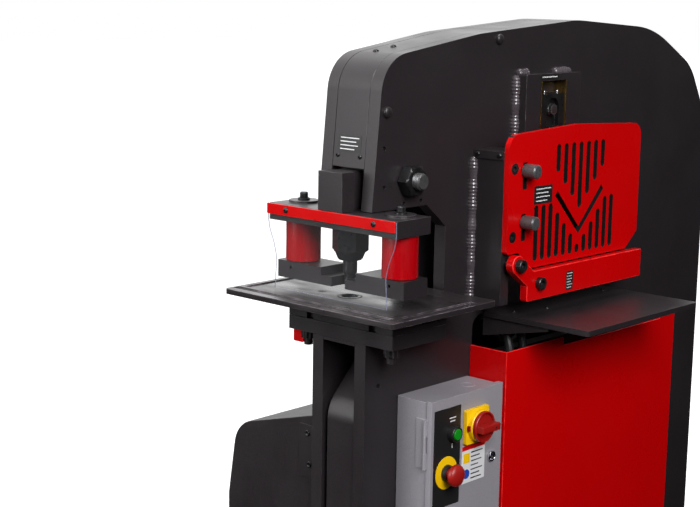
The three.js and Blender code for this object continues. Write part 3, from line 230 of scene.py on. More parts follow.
def roughen(material, shader, value, smoothest, roughest):
    """Varies the roughness between smoothest and roughest."""
    result = spread(material, value, smoothest, roughest)
    material.node_tree.links.new(result, shader.inputs["Roughness"])


def relief(material, shader, value, strength, depth):
    """Adds a bump of that depth in millimetres over what bumps there are."""
    bump = material.node_tree.nodes.new("ShaderNodeBump")
    bump.inputs["Strength"].default_value = strength
    bump.inputs["Distance"].default_value = depth * MM
    links = material.node_tree.links
    if shader.inputs["Normal"].is_linked:
        links.new(shader.inputs["Normal"].links[0].from_socket, bump.inputs["Normal"])
    links.new(value, bump.inputs["Height"])
    links.new(bump.outputs["Normal"], shader.inputs["Normal"])


def edge_wear_and_highlight(material, shader, wear_and_highlight_colour, start, end):
    """Mixes in the bare metal or a lighter paint colour along rounded edges, where the noise is from start
    to end: real wear, and in part a painted edge highlight.
    """
    nodes, links = material.node_tree.nodes, material.node_tree.links
    edge = nodes.new("ShaderNodeAttribute")
    edge.attribute_name = "wear_and_highlight_edges"
    amount = nodes.new("ShaderNodeMath")
    amount.operation = "MULTIPLY"
    links.new(edge.outputs["Fac"], amount.inputs[0])
    links.new(spread(material, grain(material, 45, 5), 0, 1, start, end), amount.inputs[1])
    mix = nodes.new("ShaderNodeMix")
    mix.data_type = "RGBA"
    mix.inputs["B"].default_value = (*wear_and_highlight_colour, 1)
    links.new(amount.outputs["Value"], mix.inputs["Factor"])
    links.new(shader.inputs["Base Color"].links[0].from_socket, mix.inputs["A"])
    links.new(mix.outputs["Result"], shader.inputs["Base Color"])


def charcoal_enamel(colours):
    """Satin enamel with a fine sandy texture and a faint sparkle."""
    material, shader = finish("charcoal_enamel", colours.charcoal, 0.38)
    sand = grain(material, 900, 3)
    shade(material, shader, spread(material, sand, 0, 1, 0.35, 0.75), 0.7, 1.9)
    roughen(material, shader, grain(material, 9, 4), 0.3, 0.44)
    relief(material, shader, sand, 0.35, 0.12)
    relief(material, shader, grain(material, 220, 1), 0.15, 0.2)
    # lighter patches on the rounded edges: wear, and in part a painted edge highlight
    edge_wear_and_highlight(material, shader, [c * 7 for c in colours.charcoal], 0.45, 0.75)
    return material


def weld_sheen_enamel(colours):
    """The same enamel where it flowed glossy over a weld, with a painted sheen: its base colour is lighter
    than the frame's, and lighter still in patches.
    """
    material, shader = finish("weld_sheen_enamel", [c * 2.6 for c in colours.charcoal], 0.2)
    shader.inputs["Coat Weight"].default_value = 0.9
    shader.inputs["Coat Roughness"].default_value = 0.1
    shade(material, shader, grain(material, 60), 0.8, 2.4)
    roughen(material, shader, grain(material, 60), 0.16, 0.34)
    relief(material, shader, grain(material, 160, 3), 0.4, 0.6)
    return material


def table_finish(colours):
    """Blackened table top, rubbed smoother where plates slide over it."""
    material, shader = finish("table_finish", [c * 0.9 for c in colours.charcoal], 0.26)
    shader.inputs["Coat Weight"].default_value = 0.12
    shader.inputs["Coat Roughness"].default_value = 0.18
    shade(material, shader, grain(material, 14, 5), 0.8, 1.9)
    roughen(material, shader, grain(material, 22, 8, (1, 0.4, 1)), 0.18, 0.5)
    relief(material, shader, grain(material, 700, 2), 0.25, 0.1)
    # lighter patches on the rounded edges: wear, and in part a painted edge highlight
    edge_wear_and_highlight(material, shader, [c * 9 for c in colours.charcoal], 0.4, 0.7)
    return material


def red_enamel(colours):
    """Gloss enamel with a little orange peel."""
    material, shader = finish("red_enamel", colours.red, 0.28)
    shader.inputs["Specular IOR Level"].default_value = 0.22
    shader.inputs["Coat Weight"].default_value = 0.12
    shader.inputs["Coat Roughness"].default_value = 0.08
    shade(material, shader, grain(material, 5, 3), 0.92, 1.06)
    roughen(material, shader, grain(material, 11, 3), 0.24, 0.34)
    relief(material, shader, grain(material, 260, 1), 0.12, 0.12)
    # lighter red on the rounded edges: wear, and in part a painted edge highlight
    edge_wear_and_highlight(material, shader, (min(colours.red[0] * 1.7, 1), 0.03, 0.03), 0.3, 0.6)
    return material


def grey_enamel(colours):
    """Powder coat of the enclosure, with a fine speckle."""
    material, shader = finish("grey_enamel", colours.grey, 0.42)
    speckle = grain(material, 800, 3)
    shade(material, shader, spread(material, speckle, 0, 1), 0.86, 1.14)
    roughen(material, shader, grain(material, 16, 3), 0.32, 0.46)
    relief(material, shader, speckle, 0.25, 0.1)
    edge_wear_and_highlight(material, shader, [min(c * 1.9, 1) for c in colours.grey], 0.35, 0.65)
    return material


def brushed(name, base, roughness, stretch):
    """Bare metal with the marks of its machining along one direction."""
    material, shader = finish(name, base, roughness, 1.0)
    marks = grain(material, 320, 3, stretch)
    shade(material, shader, marks, 0.72, 1.25)
    roughen(material, shader, marks, roughness * 0.75, roughness * 1.35)
    relief(material, shader, marks, 0.2, 0.05)
    return material


def machined_steel(colours):
    return brushed("machined_steel", colours.steel, 0.34, (0.12, 1, 1))


def plated_steel(colours):
    return brushed("plated_steel", colours.bright_steel, 0.16, (1, 1, 0.12))


def bare_brass(colours):
    return brushed("bare_brass", colours.brass, 0.3, (1, 1, 0.1))


def blackened_steel(colours):
    """Oxide black that is thinner and browner in patches."""
    material, shader = finish("blackened_steel", colours.black_oxide, 0.32, 0.85)
    shade(material, shader, grain(material, 60, 4), 0.65, 2.0)
    roughen(material, shader, grain(material, 130, 3), 0.26, 0.46)
    relief(material, shader, grain(material, 900, 2), 0.2, 0.06)
    edge_wear_and_highlight(material, shader, colours.steel, 0.4, 0.7)
    return material


def knob_finish(colours):
    """Satin grey of the turned knobs, with the marks of the lathe."""
    material, shader = finish("knob_finish", [c * 2.4 for c in colours.black_oxide], 0.3, 0.35)
    shade(material, shader, grain(material, 90, 4), 0.8, 1.3)
    roughen(material, shader, grain(material, 160, 3), 0.24, 0.4)
    relief(material, shader, grain(material, 500, 2, (0.2, 1, 0.2)), 0.2, 0.05)
    edge_wear_and_highlight(material, shader, colours.steel, 0.4, 0.7)
    return material


def plated_thread(colours):
    """Zinc of a stud's end, greyed in its threads."""
    material, shader = finish("plated_thread", [c * 0.16 for c in colours.bright_steel], 0.36, 0.6)
    shade(material, shader, grain(material, 200, 4), 0.6, 1.5)
    roughen(material, shader, grain(material, 260, 3), 0.3, 0.5)
    relief(material, shader, grain(material, 800, 2), 0.25, 0.08)
    return material


def cast_urethane(colours):
    """Dark red rubber that light enters a little."""
    material, shader = finish("cast_urethane", colours.urethane, 0.24)
    shader.inputs["Specular IOR Level"].default_value = 0.3
    shader.inputs["Subsurface Weight"].default_value = 0.35
    shader.inputs["Subsurface Radius"].default_value = (0.012, 0.002, 0.002)
    shader.inputs["Subsurface Scale"].default_value = 1.0
    shade(material, shader, grain(material, 26, 3, (1, 1, 0.3)), 0.78, 1.2)
    roughen(material, shader, grain(material, 50, 2, (1, 1, 0.2)), 0.18, 0.34)
    relief(material, shader, grain(material, 120, 1, (1, 1, 0.2)), 0.06, 0.2)
    return material


def clear_sheet(colours):
    """Clear polycarbonate, a little hazy with use."""
    material, shader = finish("clear_sheet", [c * 0.4 for c in colours.clear], 0.05)
    shader.inputs["Alpha"].default_value = 0.025
    shader.inputs["Specular IOR Level"].default_value = 0.25
    shader.inputs["IOR"].default_value = 1.58
    roughen(material, shader, grain(material, 30, 4, (1, 1, 0.3)), 0.03, 0.12)
    relief(material, shader, grain(material, 12, 1), 0.1, 0.3)
    material.surface_render_method = "BLENDED"
    return material


def sheet_rim(colours):
    """The sawn edge of the clear sheet, where it looks bluish."""
    tint = (0.26, 0.27, 0.38)
    material, shader = finish("sheet_rim", [c * t for c, t in zip(colours.clear, tint)], 0.3)
    shader.inputs["Alpha"].default_value = 0.8
    shade(material, shader, grain(material, 90, 2), 0.7, 1.3)
    relief(material, shader, grain(material, 900, 2), 0.2, 0.05)
    material.surface_render_method = "BLENDED"
    return material


def moulded(name, base, roughness=0.38):
    """Moulded plastic with a fine matt texture."""
    material, shader = finish(name, base, roughness)
    skin = grain(material, 1400, 2)
    shade(material, shader, grain(material, 30, 2), 0.9, 1.1)
    roughen(material, shader, skin, roughness * 0.85, roughness * 1.2)
    relief(material, shader, skin, 0.15, 0.04)
    return material


def hose_rubber(colours):
    """Hose cover with a faint cloth print."""
    material, shader = finish("hose_rubber", colours.rubber, 0.5)
    cloth = grain(material, 700, 2, (1, 1, 1))
    shade(material, shader, cloth, 0.6, 1.8)
    roughen(material, shader, grain(material, 60, 3), 0.38, 0.6)
    relief(material, shader, cloth, 0.4, 0.2)
    return material


def painted_slot_shade(colours):
    """Painted shade: dull black for the walls inside slots and the blade seen through them, where shade
    falls, with traces of dust.
    """
    material, shader = finish("painted_slot_shade", [c * 0.5 for c in colours.rubber], 0.7)
    shader.inputs["Specular IOR Level"].default_value = 0.2
    shade(material, shader, grain(material, 120, 3), 0.6, 2.0)
    relief(material, shader, grain(material, 500, 2), 0.3, 0.1)
    return material


MAKERS = {
    "shadow": painted_slot_shade,
    "charcoal": charcoal_enamel,
    "weld_sheen": weld_sheen_enamel,
    "table": table_finish,
    "red": red_enamel,
    "grey": grey_enamel,
    "steel": machined_steel,
    "bright_steel": plated_steel,
    "brass": bare_brass,
    "black_oxide": blackened_steel,
    "knob": knob_finish,
    "thread": plated_thread,
    "urethane": cast_urethane,
    "clear": clear_sheet,
    "rim": sheet_rim,
    "rubber": hose_rubber,
    "yellow": lambda colours: moulded("yellow_plastic", colours.yellow),
    "green": lambda colours: moulded("green_plastic", colours.green, 0.3),
    "red_plastic": lambda colours: moulded("red_plastic", colours.red_plastic, 0.36),
    "black": lambda colours: moulded("black_plastic", colours.rubber, 0.4),
    "white": lambda colours: moulded("white_print", colours.white, 0.45),
    "header": lambda colours: moulded("red_print", colours.red, 0.45),
    "blue": lambda colours: moulded("blue_print", colours.blue, 0.45),
}
made = {}


def coat(key):
    """The finish of that name, made once."""
    if key not in made:
        made[key] = MAKERS[key](bpy.context.scene.press_colours)
    return made[key]


# ---------------------------------------------------------------- shapes


def bevel(bm, edges, width, segments):
    """Rounds the edges and marks the new faces as the ones that take wear and a painted edge highlight."""
    new = bmesh.ops.bevel(bm, geom=edges, offset=width, offset_type="OFFSET", affect="EDGES",
                          segments=segments, profile=0.5, material=-1, clamp_overlap=True)
    wear_and_highlight_edges = bm.loops.layers.float.get("wear_and_highlight_edges") or bm.loops.layers.float.new("wear_and_highlight_edges")
    for face in new["faces"]:
        for loop in face.loops:
            loop[wear_and_highlight_edges] = 1.0


def soften(bm, width, segments=2, sharp=math.radians(32)):
    """Rounds every edge that is sharper than that angle."""
    bevel(bm, [e for e in bm.edges if e.is_manifold and e.calc_face_angle() > sharp], width, segments)


def block(lowest, highest, edge=0.0):
    """A box between two corners, with its edges rounded by edge metres."""
    bm = bmesh.new()
    size = Matrix.Diagonal((*(highest - lowest), 1))
    bmesh.ops.create_cube(bm, size=1, matrix=Matrix.Translation((lowest + highest) / 2) @ size)
    if edge:
        soften(bm, edge)
    return bm


def plate(lowest, highest, corner, edge=0.0):
    """A thin box whose four corners are rounded by corner millimetres."""
    bm = block(lowest, highest)
    thin = min(range(3), key=lambda i: highest[i] - lowest[i])
    uprights = [e for e in bm.edges if abs((e.verts[0].co - e.verts[1].co)[thin]) > WELD]
    bevel(bm, uprights, corner * MM, 6)
    if edge:
        soften(bm, edge)
    return bm


def hexed(verts, flats, only=None):
    """Draws round rings in to a hexagon, or sets only the rings of that radius on it."""
    for vert in verts:
        radius = math.hypot(vert.co.x, vert.co.y)
        if radius < WELD or (only is not None and abs(radius - only * MM) > WELD):
            continue
        angle = math.atan2(vert.co.y, vert.co.x) % (math.pi / 3) - math.pi / 6
        limit = flats / 2 * MM / math.cos(angle)
        if only is not None or radius > limit:
            vert.co.x *= limit / radius
            vert.co.y *= limit / radius


def turned(profile, centre, direction=UP, steps=48, flats=None, socket=None):
    """A shape turned from (radius, height) pairs in millimetres, standing at centre.

    flats cuts it to a hexagon, and socket is the radius of the ring that becomes a hex socket.
    """
    bm = bmesh.new()
    points = [bm.verts.new((radius * MM, 0, height * MM)) for radius, height in profile]
    edges = [bm.edges.new(pair) for pair in zip(points, points[1:])]
    bmesh.ops.spin(bm, geom=points + edges, cent=(0, 0, 0), axis=UP, angle=math.tau, steps=steps,
                   use_merge=True)
    bmesh.ops.remove_doubles(bm, verts=bm.verts, dist=WELD)
    if flats:
        hexed(bm.verts, flats)
    if socket:
        hexed(bm.verts, socket * math.sqrt(3), only=socket)
    turn = UP.rotation_difference(direction).to_matrix().to_4x4()
    bmesh.ops.transform(bm, matrix=Matrix.Translation(centre) @ turn, verts=bm.verts)
    return bm


def thread(radius, start, end, pitch):
    """The (radius, height) pairs of a thread."""
    turns = max(1, round((end - start) / pitch))
    pairs = []
    for i in range(turns):
        foot = start + (end - start) * i / turns
        crest = [(radius, foot + 0.45 * pitch), (radius, foot + 0.55 * pitch)]
        pairs += [(radius - 0.55 * pitch, foot), *crest]
    return pairs + [(radius - 0.55 * pitch, end)]


def button_head(centre, direction, radius, height):
    """A domed screw head with a hex socket."""
    hexagon = radius * 0.48
    dome = [(0, 0), (radius, 0), (radius, 0.18 * height), (radius * 0.9, 0.55 * height),
            (radius * 0.7, 0.88 * height)]
    recess = [(hexagon, height), (hexagon, 0.35 * height), (0, 0.3 * height)]
    return turned(dome + recess, centre, direction, 24, socket=hexagon)


def cap_head(centre, direction, radius, height):
    """A cylindrical screw head with a hex socket."""
    hexagon = radius * 0.55
    head = [(0, 0), (radius - 0.3, 0), (radius, 0.4), (radius, height - 1), (radius - 1, height)]
    recess = [(hexagon + 0.6, height), (hexagon, height - 0.6), (hexagon, 0.4 * height), (0, 0.35 * height)]
    return turned(head + recess, centre, direction, 36, socket=hexagon)


def dome_head(centre, direction, radius, height):
    """A plain domed bolt head on a thin washer."""
    washer = [(0, 0), (radius * 1.08, 0), (radius * 1.08, 1), (radius, 1.2)]
    shares = ((1, 0.45), (0.93, 0.68), (0.75, 0.88), (0.4, 0.98), (0, 1))
    dome = [(radius * across, height * up) for across, up in shares]
    return turned(washer + dome, centre, direction, 32)


def hex_nut(centre, direction, flats, height, bore=0.0):
    """A nut, bored or solid, whose corners are chamfered all round."""
    corner = flats / math.sqrt(3)
    chamfer = 0.1 * flats
    lip = chamfer * 0.58
    outside = [(bore, 0), (corner - chamfer, 0), (corner, lip), (corner, height - lip),
               (corner - chamfer, height)]
    inside = [(bore + 0.8, height), (bore, height - 0.8), (bore, 0)] if bore else [(0, height)]
    return turned(outside + inside, centre, direction, 48, flats=flats)


def joined(*shapes):
    """One bmesh that holds them all."""
    whole = bmesh.new()
    for shape in shapes:
        mesh = bpy.data.meshes.new("part")
        bmesh.ops.recalc_face_normals(shape, faces=shape.faces)
        shape.to_mesh(mesh)
        whole.from_mesh(mesh)
        bpy.data.meshes.remove(mesh)
        shape.free()
    return whole


def in_finish(bm, index):
    """Gives every face the finish of that number."""
    for face in bm.faces:
        face.material_index = index
    return bm


def scratch_object(name, bm):
    """An object that only a boolean uses."""
    mesh = bpy.data.meshes.new(name)
    bm.to_mesh(mesh)
    bm.free()
    thing = bpy.data.objects.new(name, mesh)
    bpy.context.scene.collection.objects.link(thing)
    return thing


def drilled(bm, bores):
    """Cuts round holes, each (centre, direction, radius, depth) with its mouth at centre."""
    work = scratch_object("work", bm)
    drills = []
    for centre, direction, radius, depth in bores:
        drills.append(turned([(0, -depth), (radius, -depth), (radius, 2), (0, 2)], centre, direction, 24))
    tool = scratch_object("tool", joined(*drills))
    cut = work.modifiers.new("drill", "BOOLEAN")
    cut.operation = "DIFFERENCE"
    cut.solver = "EXACT"
    cut.object = tool
    bpy.context.view_layer.update()
    result = bmesh.new()
    evaluated = work.evaluated_get(bpy.context.evaluated_depsgraph_get())
    result.from_mesh(evaluated.data)
    for thing in (work, tool):
        mesh = thing.data
        bpy.data.objects.remove(thing)
        bpy.data.meshes.remove(mesh)
    return result


def copied(node):
    """A CAD node's shape with its triangles merged into whole faces."""
    bm = bmesh.new()
    bm.from_mesh(frame["nodes"][node].data)
    bmesh.ops.remove_doubles(bm, verts=bm.verts, dist=WELD)
    bmesh.ops.dissolve_limit(bm, angle_limit=math.radians(0.4), verts=bm.verts, edges=bm.edges,
                             delimit={"NORMAL"})
    return bm


def piece(name, bm, body, finishes, nodes=(), crease=40):
    """Makes the shape a piece that rides on a body, in those finishes."""
    bmesh.ops.recalc_face_normals(bm, faces=bm.faces)
    mesh = bpy.data.meshes.new(name)
    bm.to_mesh(mesh)
    bm.free()
    mesh.shade_smooth()
    mesh.set_sharp_from_angle(angle=math.radians(crease))
    for key in finishes:
        mesh.materials.append(coat(key))
    thing = bpy.data.objects.new(name, mesh)
    bpy.context.scene.collection.objects.link(thing)
    flat = thing.modifiers.new("flat_faces", "WEIGHTED_NORMAL")
    flat.keep_sharp = True
    flat.weight = 90
    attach(thing, body)
    if nodes:
        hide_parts(*nodes)
    return thing


def darken_slots(bm, margin):
    """Gives the second finish, a painted shade, to the walls of what is cut through a plate that faces the
    operator.
    """
    xs = [v.co.x for v in bm.verts]
    zs = [v.co.z for v in bm.verts]
    for face in bm.faces:
        place = face.calc_center_median()
        inside = min(place.x - min(xs), max(xs) - place.x, place.z - min(zs), max(zs) - place.z)
        if abs(face.normal.y) < 0.5 and inside > margin * MM:
            # painted shade on the walls inside the slots
            face.material_index = 1


def rounded(node, edge, finishes=None, bores=(), slots_inside=0.0):
    """Stands for a CAD node with its own shape, edges rounded and holes drilled.

    slots_inside is how far in from the plate's edges its slot walls begin to take a painted shade.
    """
    bm = copied(node)
    if bores:
        bm = drilled(bm, bores)
    soften(bm, edge)
    if slots_inside:
        darken_slots(bm, slots_inside)
    slot = SLOTS[node]
    body = frame["nodes"][node]["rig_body"]
    return piece(f"{node}_finished", bm, body, finishes or [slot], [node])


def fitting(name, shapes, body, key, nodes=()):
    """Small turned or cut shapes joined in one piece."""
    return piece(name, joined(*shapes), body, [key], nodes)


def surface_of(node, start, direction):
    """Where a line from start meets a CAD node, and the surface's direction there."""
    mesh = frame["nodes"][node].data
    tree = BVHTree.FromPolygons([v.co for v in mesh.vertices], [p.vertices for p in mesh.polygons])
    place, normal, _, _ = tree.ray_cast(start, direction)
    if place is None:
        raise RuntimeError(f"nothing of {node} lies that way")
    return place, normal


def label(name, lowest, highest, body, rows, normal=FRONT, header=0.0):
    """A blank plate with a few plain bars where print would be, facing along normal.

    lowest and highest are places on the surface, and rows is how many bars there are.
    """
    centre = (lowest + highest) / 2
    across = UP.cross(normal).normalized()
    upward = normal.cross(across)
    width = abs((highest - lowest).dot(across))
    height = abs((highest - lowest).dot(upward))
    thin = 0.4 * MM
    turn = Matrix((across, upward, normal)).transposed().to_4x4()
    half = Vector((width / 2, height / 2, 0))
    depth = Vector((0, 0, thin))
    shapes = [in_finish(plate(-half, half + depth, 1.5), 0)]
    top = height / 2 * (1 - 2 * header)
    left = -width * 0.1 if header else -width * 0.4
    for i in range(rows):
        level = top - (height - height * header) * (i + 0.8) / (rows + 0.6)
        right = width * (0.40, 0.28, 0.36, 0.22)[i % 4]
        bar = height / rows * 0.11
        line = block(Vector((left, level - bar, 0)), Vector((right, level + bar, thin * 1.3)))
        shapes.append(in_finish(line, 1))
    if header:
        band = block(Vector((thin - half.x, top, 0)), Vector((half.x - thin, half.y - thin, thin * 1.4)))
        shapes.append(in_finish(band, 2))
    bm = joined(*shapes)
    bmesh.ops.transform(bm, matrix=Matrix.Translation(centre) @ turn, verts=bm.verts)
    finishes = ["white", "black", "header"] if header else ["black", "white"]
    return piece(name, bm, body, finishes, crease=30)


def weld(name, start, end):
    """A rippled bead on the frame, laid from start to end."""
    sizes = bpy.context.scene.press_sizes
    radius = sizes.weld_radius
    run = end - start
    ripples = max(2, round(run.length / sizes.weld_ripple))
    sides = 12
    bm = bmesh.new()
    turn = UP.rotation_difference(run).to_matrix().to_4x4()
    ring = bmesh.ops.create_circle(bm, segments=sides, radius=radius * 0.4, cap_ends=True,
                                   matrix=Matrix.Translation(start) @ turn)["verts"]
    edges = list({e for v in ring for e in v.link_edges})
    steps = ripples * 4
    for i in range(1, steps + 1):
        grown = bmesh.ops.extrude_edge_only(bm, edges=edges)["geom"]
        ring = [g for g in grown if isinstance(g, bmesh.types.BMVert)]
        edges = [g for g in grown if isinstance(g, bmesh.types.BMEdge)]
        bmesh.ops.translate(bm, verts=ring, vec=run / steps)
        centre = start + run * i / steps
        ends = min(1.0, 0.55 + 0.15 * min(i, steps - i))
        wander = 1 + 0.05 * math.sin(1.7 * i) + 0.09 * math.sin(0.31 * i + 2)
        size = radius * ends * wander * (0.96 + 0.04 * math.cos(math.tau * i / 4))
        for vert in ring:
            vert.co = centre + (vert.co - centre).normalized() * size
    bmesh.ops.contextual_create(bm, geom=edges)
    # the bead takes the glossy enamel with its painted sheen
    return piece(name, bm, "frame", ["weld_sheen"], crease=60)


# ---------------------------------------------------------------- studio


def area_light(name, place, target, width, height, power):
    """A soft lamp at place that faces target."""
    data = bpy.data.lights.new(name, "AREA")
    data.shape = "RECTANGLE"
    data.size = width
    data.size_y = height
    data.energy = power
    lamp = bpy.data.objects.new(name, data)
    bpy.context.scene.collection.objects.link(lamp)
    lamp.location = place
    lamp.rotation_euler = (Vector(target) - Vector(place)).to_track_quat("-Z", "Y").to_euler()


def world_light(seen, behind, before):
    """A surround that the camera sees white, and that is darker before the machine than behind."""
    world = bpy.data.worlds.new("studio")
    bpy.context.scene.world = world
    world.use_nodes = True
    nodes, links = world.node_tree.nodes, world.node_tree.links
    background = nodes["Background"]
    background.inputs["Color"].default_value = (1, 1, 1, 1)
    direction = nodes.new("ShaderNodeTexCoord")
    parts = nodes.new("ShaderNodeSeparateXYZ")
    links.new(direction.outputs["Generated"], parts.inputs["Vector"])
    depth = nodes.new("ShaderNodeMapRange")
    height = nodes.new("ShaderNodeMapRange")
    ramps = ((depth, "Y", -0.25, 0.35, before, behind), (height, "Z", -0.02, 0.02, 0.0, 1.0))
    for node, socket, start, end, lowest, highest in ramps:
        node.inputs["From Min"].default_value = start
        node.inputs["From Max"].default_value = end
        node.inputs["To Min"].default_value = lowest
        node.inputs["To Max"].default_value = highest
        links.new(parts.outputs[socket], node.inputs["Value"])
    strength = nodes.new("ShaderNodeMath")
    strength.operation = "MULTIPLY"
    links.new(depth.outputs["Result"], strength.inputs[0])
    links.new(height.outputs["Result"], strength.inputs[1])
    path = nodes.new("ShaderNodeLightPath")
    choice = nodes.new("ShaderNodeMix")
    choice.inputs["B"].default_value = seen
    links.new(path.outputs["Is Camera Ray"], choice.inputs["Factor"])
    links.new(strength.outputs["Value"], choice.inputs["A"])
    links.new(choice.outputs["Result"], background.inputs["Strength"])


def stand_camera(place, yaw, pitch, roll, lens):
    """A camera that looks yaw degrees round from +X and pitch degrees down."""
    yaw, pitch, roll = (math.radians(angle) for angle in (yaw, pitch, roll))
    level = Vector((math.cos(yaw), math.sin(yaw), 0))
    forward = level * math.cos(pitch) - UP * math.sin(pitch)
    right = forward.cross(UP).normalized()
    up = right.cross(forward)
    across = right * math.cos(roll) + up * math.sin(roll)
    upward = up * math.cos(roll) - right * math.sin(roll)
    data = bpy.data.cameras.new("camera")
    data.sensor_width = 36
    data.lens = lens
    camera = bpy.data.objects.new("camera", data)
    bpy.context.scene.collection.objects.link(camera)
    turn = Matrix((across, upward, -forward)).transposed().to_4x4()
    camera.matrix_world = Matrix.Translation(place) @ turn
    bpy.context.scene.camera = camera


class PRESS_OT_stage(bpy.types.Operator):
    """Sets the pale floor, the studio lights and the camera"""

    bl_idname = "press.stage"
    bl_label = "Studio"

    def execute(self, context):
        context.scene.view_settings.view_transform = "Standard"
        bm = bmesh.new()
        bmesh.ops.create_grid(bm, x_segments=8, y_segments=8, size=30)
        mesh = bpy.data.meshes.new("floor")
        bm.to_mesh(mesh)
        bm.free()
        material, shader = finish("floor_paint", (0.8, 0.8, 0.8), 0.8)
        shader.inputs["Emission Color"].default_value = (1, 1, 1, 1)
        shader.inputs["Emission Strength"].default_value = 0.62
        shade(material, shader, grain(material, 3, 4), 0.985, 1.0)
        mesh.materials.append(material)
        floor = bpy.data.objects.new("floor", mesh)
        context.scene.collection.objects.link(floor)
        floor.visible_glossy = False
        floor.visible_diffuse = False
        world_light(seen=1.0, behind=1.45, before=0.12)
        area_light("key_light", (-1.9, -3.0, 2.9), (0, 0, 0.9), 2.0, 2.0, 170)
        area_light("left_bank", (-3.2, 1.0, 1.8), (0, 0, 0.9), 1.6, 2.2, 40)
        area_light("overhead", (-0.3, 0.3, 3.6), (0, 0, 0.9), 2.4, 1.4, 45)
        stand_camera(Vector((-2.3883, -1.7596, 1.4864)), 42.84, 10.08, 0.91, 77.09)
        return {"FINISHED"}


# ---------------------------------------------------------------- frame

DOME_BOLTS = ((42.6, 327.5), (350, 446.5))
TAPPED_HOLES = ((39, 265), (40, 197), (93.5, 165), (139, 166), (34.5, -153))
COVER_SCREWS = (92, 138)                 # X of the screws on top of the head
COVER_LABEL = {"half": 27, "rise0": 255, "rise1": 285, "screw_rise": 249}


class PRESS_OT_frame(bpy.types.Operator):
    """Builds the side plates, the strips that close them, the column and the feet"""

    bl_idname = "press.frame"
    bl_label = "Frame"

    def execute(self, context):
        sizes = context.scene.press_sizes
        holes = [(spot(x, NEAR_Y, rise), FRONT, 4.2, 7) for x, rise in TAPPED_HOLES]
        rounded("near_side_plate", sizes.plate_edge, bores=holes)
        rounded("far_side_plate", sizes.plate_edge)
        for node in ("head_cover", "top_cover", "front_foot", "rear_foot"):
            rounded(node, sizes.plate_edge)
        for node in ("column_web", "slug_chute"):
            rounded(node, sizes.sheet_edge)
        near = [dome_head(spot(x, NEAR_Y, rise), FRONT, 9.5, 8) for x, rise in DOME_BOLTS]
        far = [dome_head(spot(x, FAR_Y, rise), BACK, 9.5, 8) for x, rise in DOME_BOLTS]
        fitting("plate_bolts", near + far, "frame", "charcoal")
        self.cover_fittings()
        return {"FINISHED"}

    def cover_fittings(self):
        """The label and the screws on the strip that closes the head."""
        start = COVER_LABEL["rise0"]
        lowest, normal = surface_of("head_cover", spot(-300, 0, start), RIGHT)
        highest, _ = surface_of("head_cover", spot(-300, 0, COVER_LABEL["rise1"]), RIGHT)
        aside = Vector((0, COVER_LABEL["half"] * MM, 0))
        label("capacity_label", lowest - aside, highest + aside, "frame", 4, normal)
        screws = []
        for side in (-1, 1):
            begin = spot(-300, side * (COVER_LABEL["half"] - 1), COVER_LABEL["screw_rise"])
            place, facing = surface_of("head_cover", begin, RIGHT)
            screws.append(button_head(place, facing, 4.2, 3))
        for x in COVER_SCREWS:
            place, facing = surface_of("head_cover", spot(x, 8, 700), DOWN)
            screws.append(button_head(place, facing, 5.5, 3.4))
        fitting("cover_screws", screws, "frame", "black_oxide")


# ---------------------------------------------------------------- punch station

STUD_X, STUD_Y = 26, 100                 # the studs that hold the bolster
TABLE_PLUG = (23, 64)
STRIP_SCREWS_Y = (-104, 104)
PUNCH_RADIUS = 12.7


class PRESS_OT_guide_bolt(bpy.types.Operator):
    """Builds the large bolt and nut that hold the ram guide"""

    bl_idname = "press.guide_bolt"
    bl_label = "Guide bolt"

    def execute(self, context):
        nut_low, nut_high = from_column("guide_nut")
        x, _, rise = middle("guide_bolt")
        pitch = context.scene.press_sizes.thread_pitch / MM * 1.5
        reach = -from_column("guide_bolt")[0].y
        shank = [(0, 0), (13.5, 0), (15, 1.5), (15, -nut_low.y - 2)]
        shank += thread(15, -nut_low.y - 1, reach - 3, pitch) + [(12.4, reach), (0, reach)]
        bolt = in_finish(turned(shank, spot(x, 0, rise), FRONT), 1)
        head = in_finish(hex_nut(spot(x, FAR_Y + 0.3, rise), BACK, 48, 21), 0)
        rod = [(0, 0), (15, 0), (15, FAR_Y + 1), (0, FAR_Y + 1)]
        back_shank = in_finish(turned(rod, spot(x, 0, rise), BACK), 0)
        piece("guide_bolt_finished", joined(bolt, head, back_shank), "frame",
              ["black_oxide", "thread"], ["guide_bolt"])
        nut = hex_nut(spot(x, NEAR_Y - 0.3, rise), FRONT, 50, nut_high.y - nut_low.y, 15.3)
        fitting("guide_nut_finished", [nut], "frame", "black_oxide", nodes=["guide_nut"])
        rounded("ram_guide_block", context.scene.press_sizes.sheet_edge)
        return {"FINISHED"}


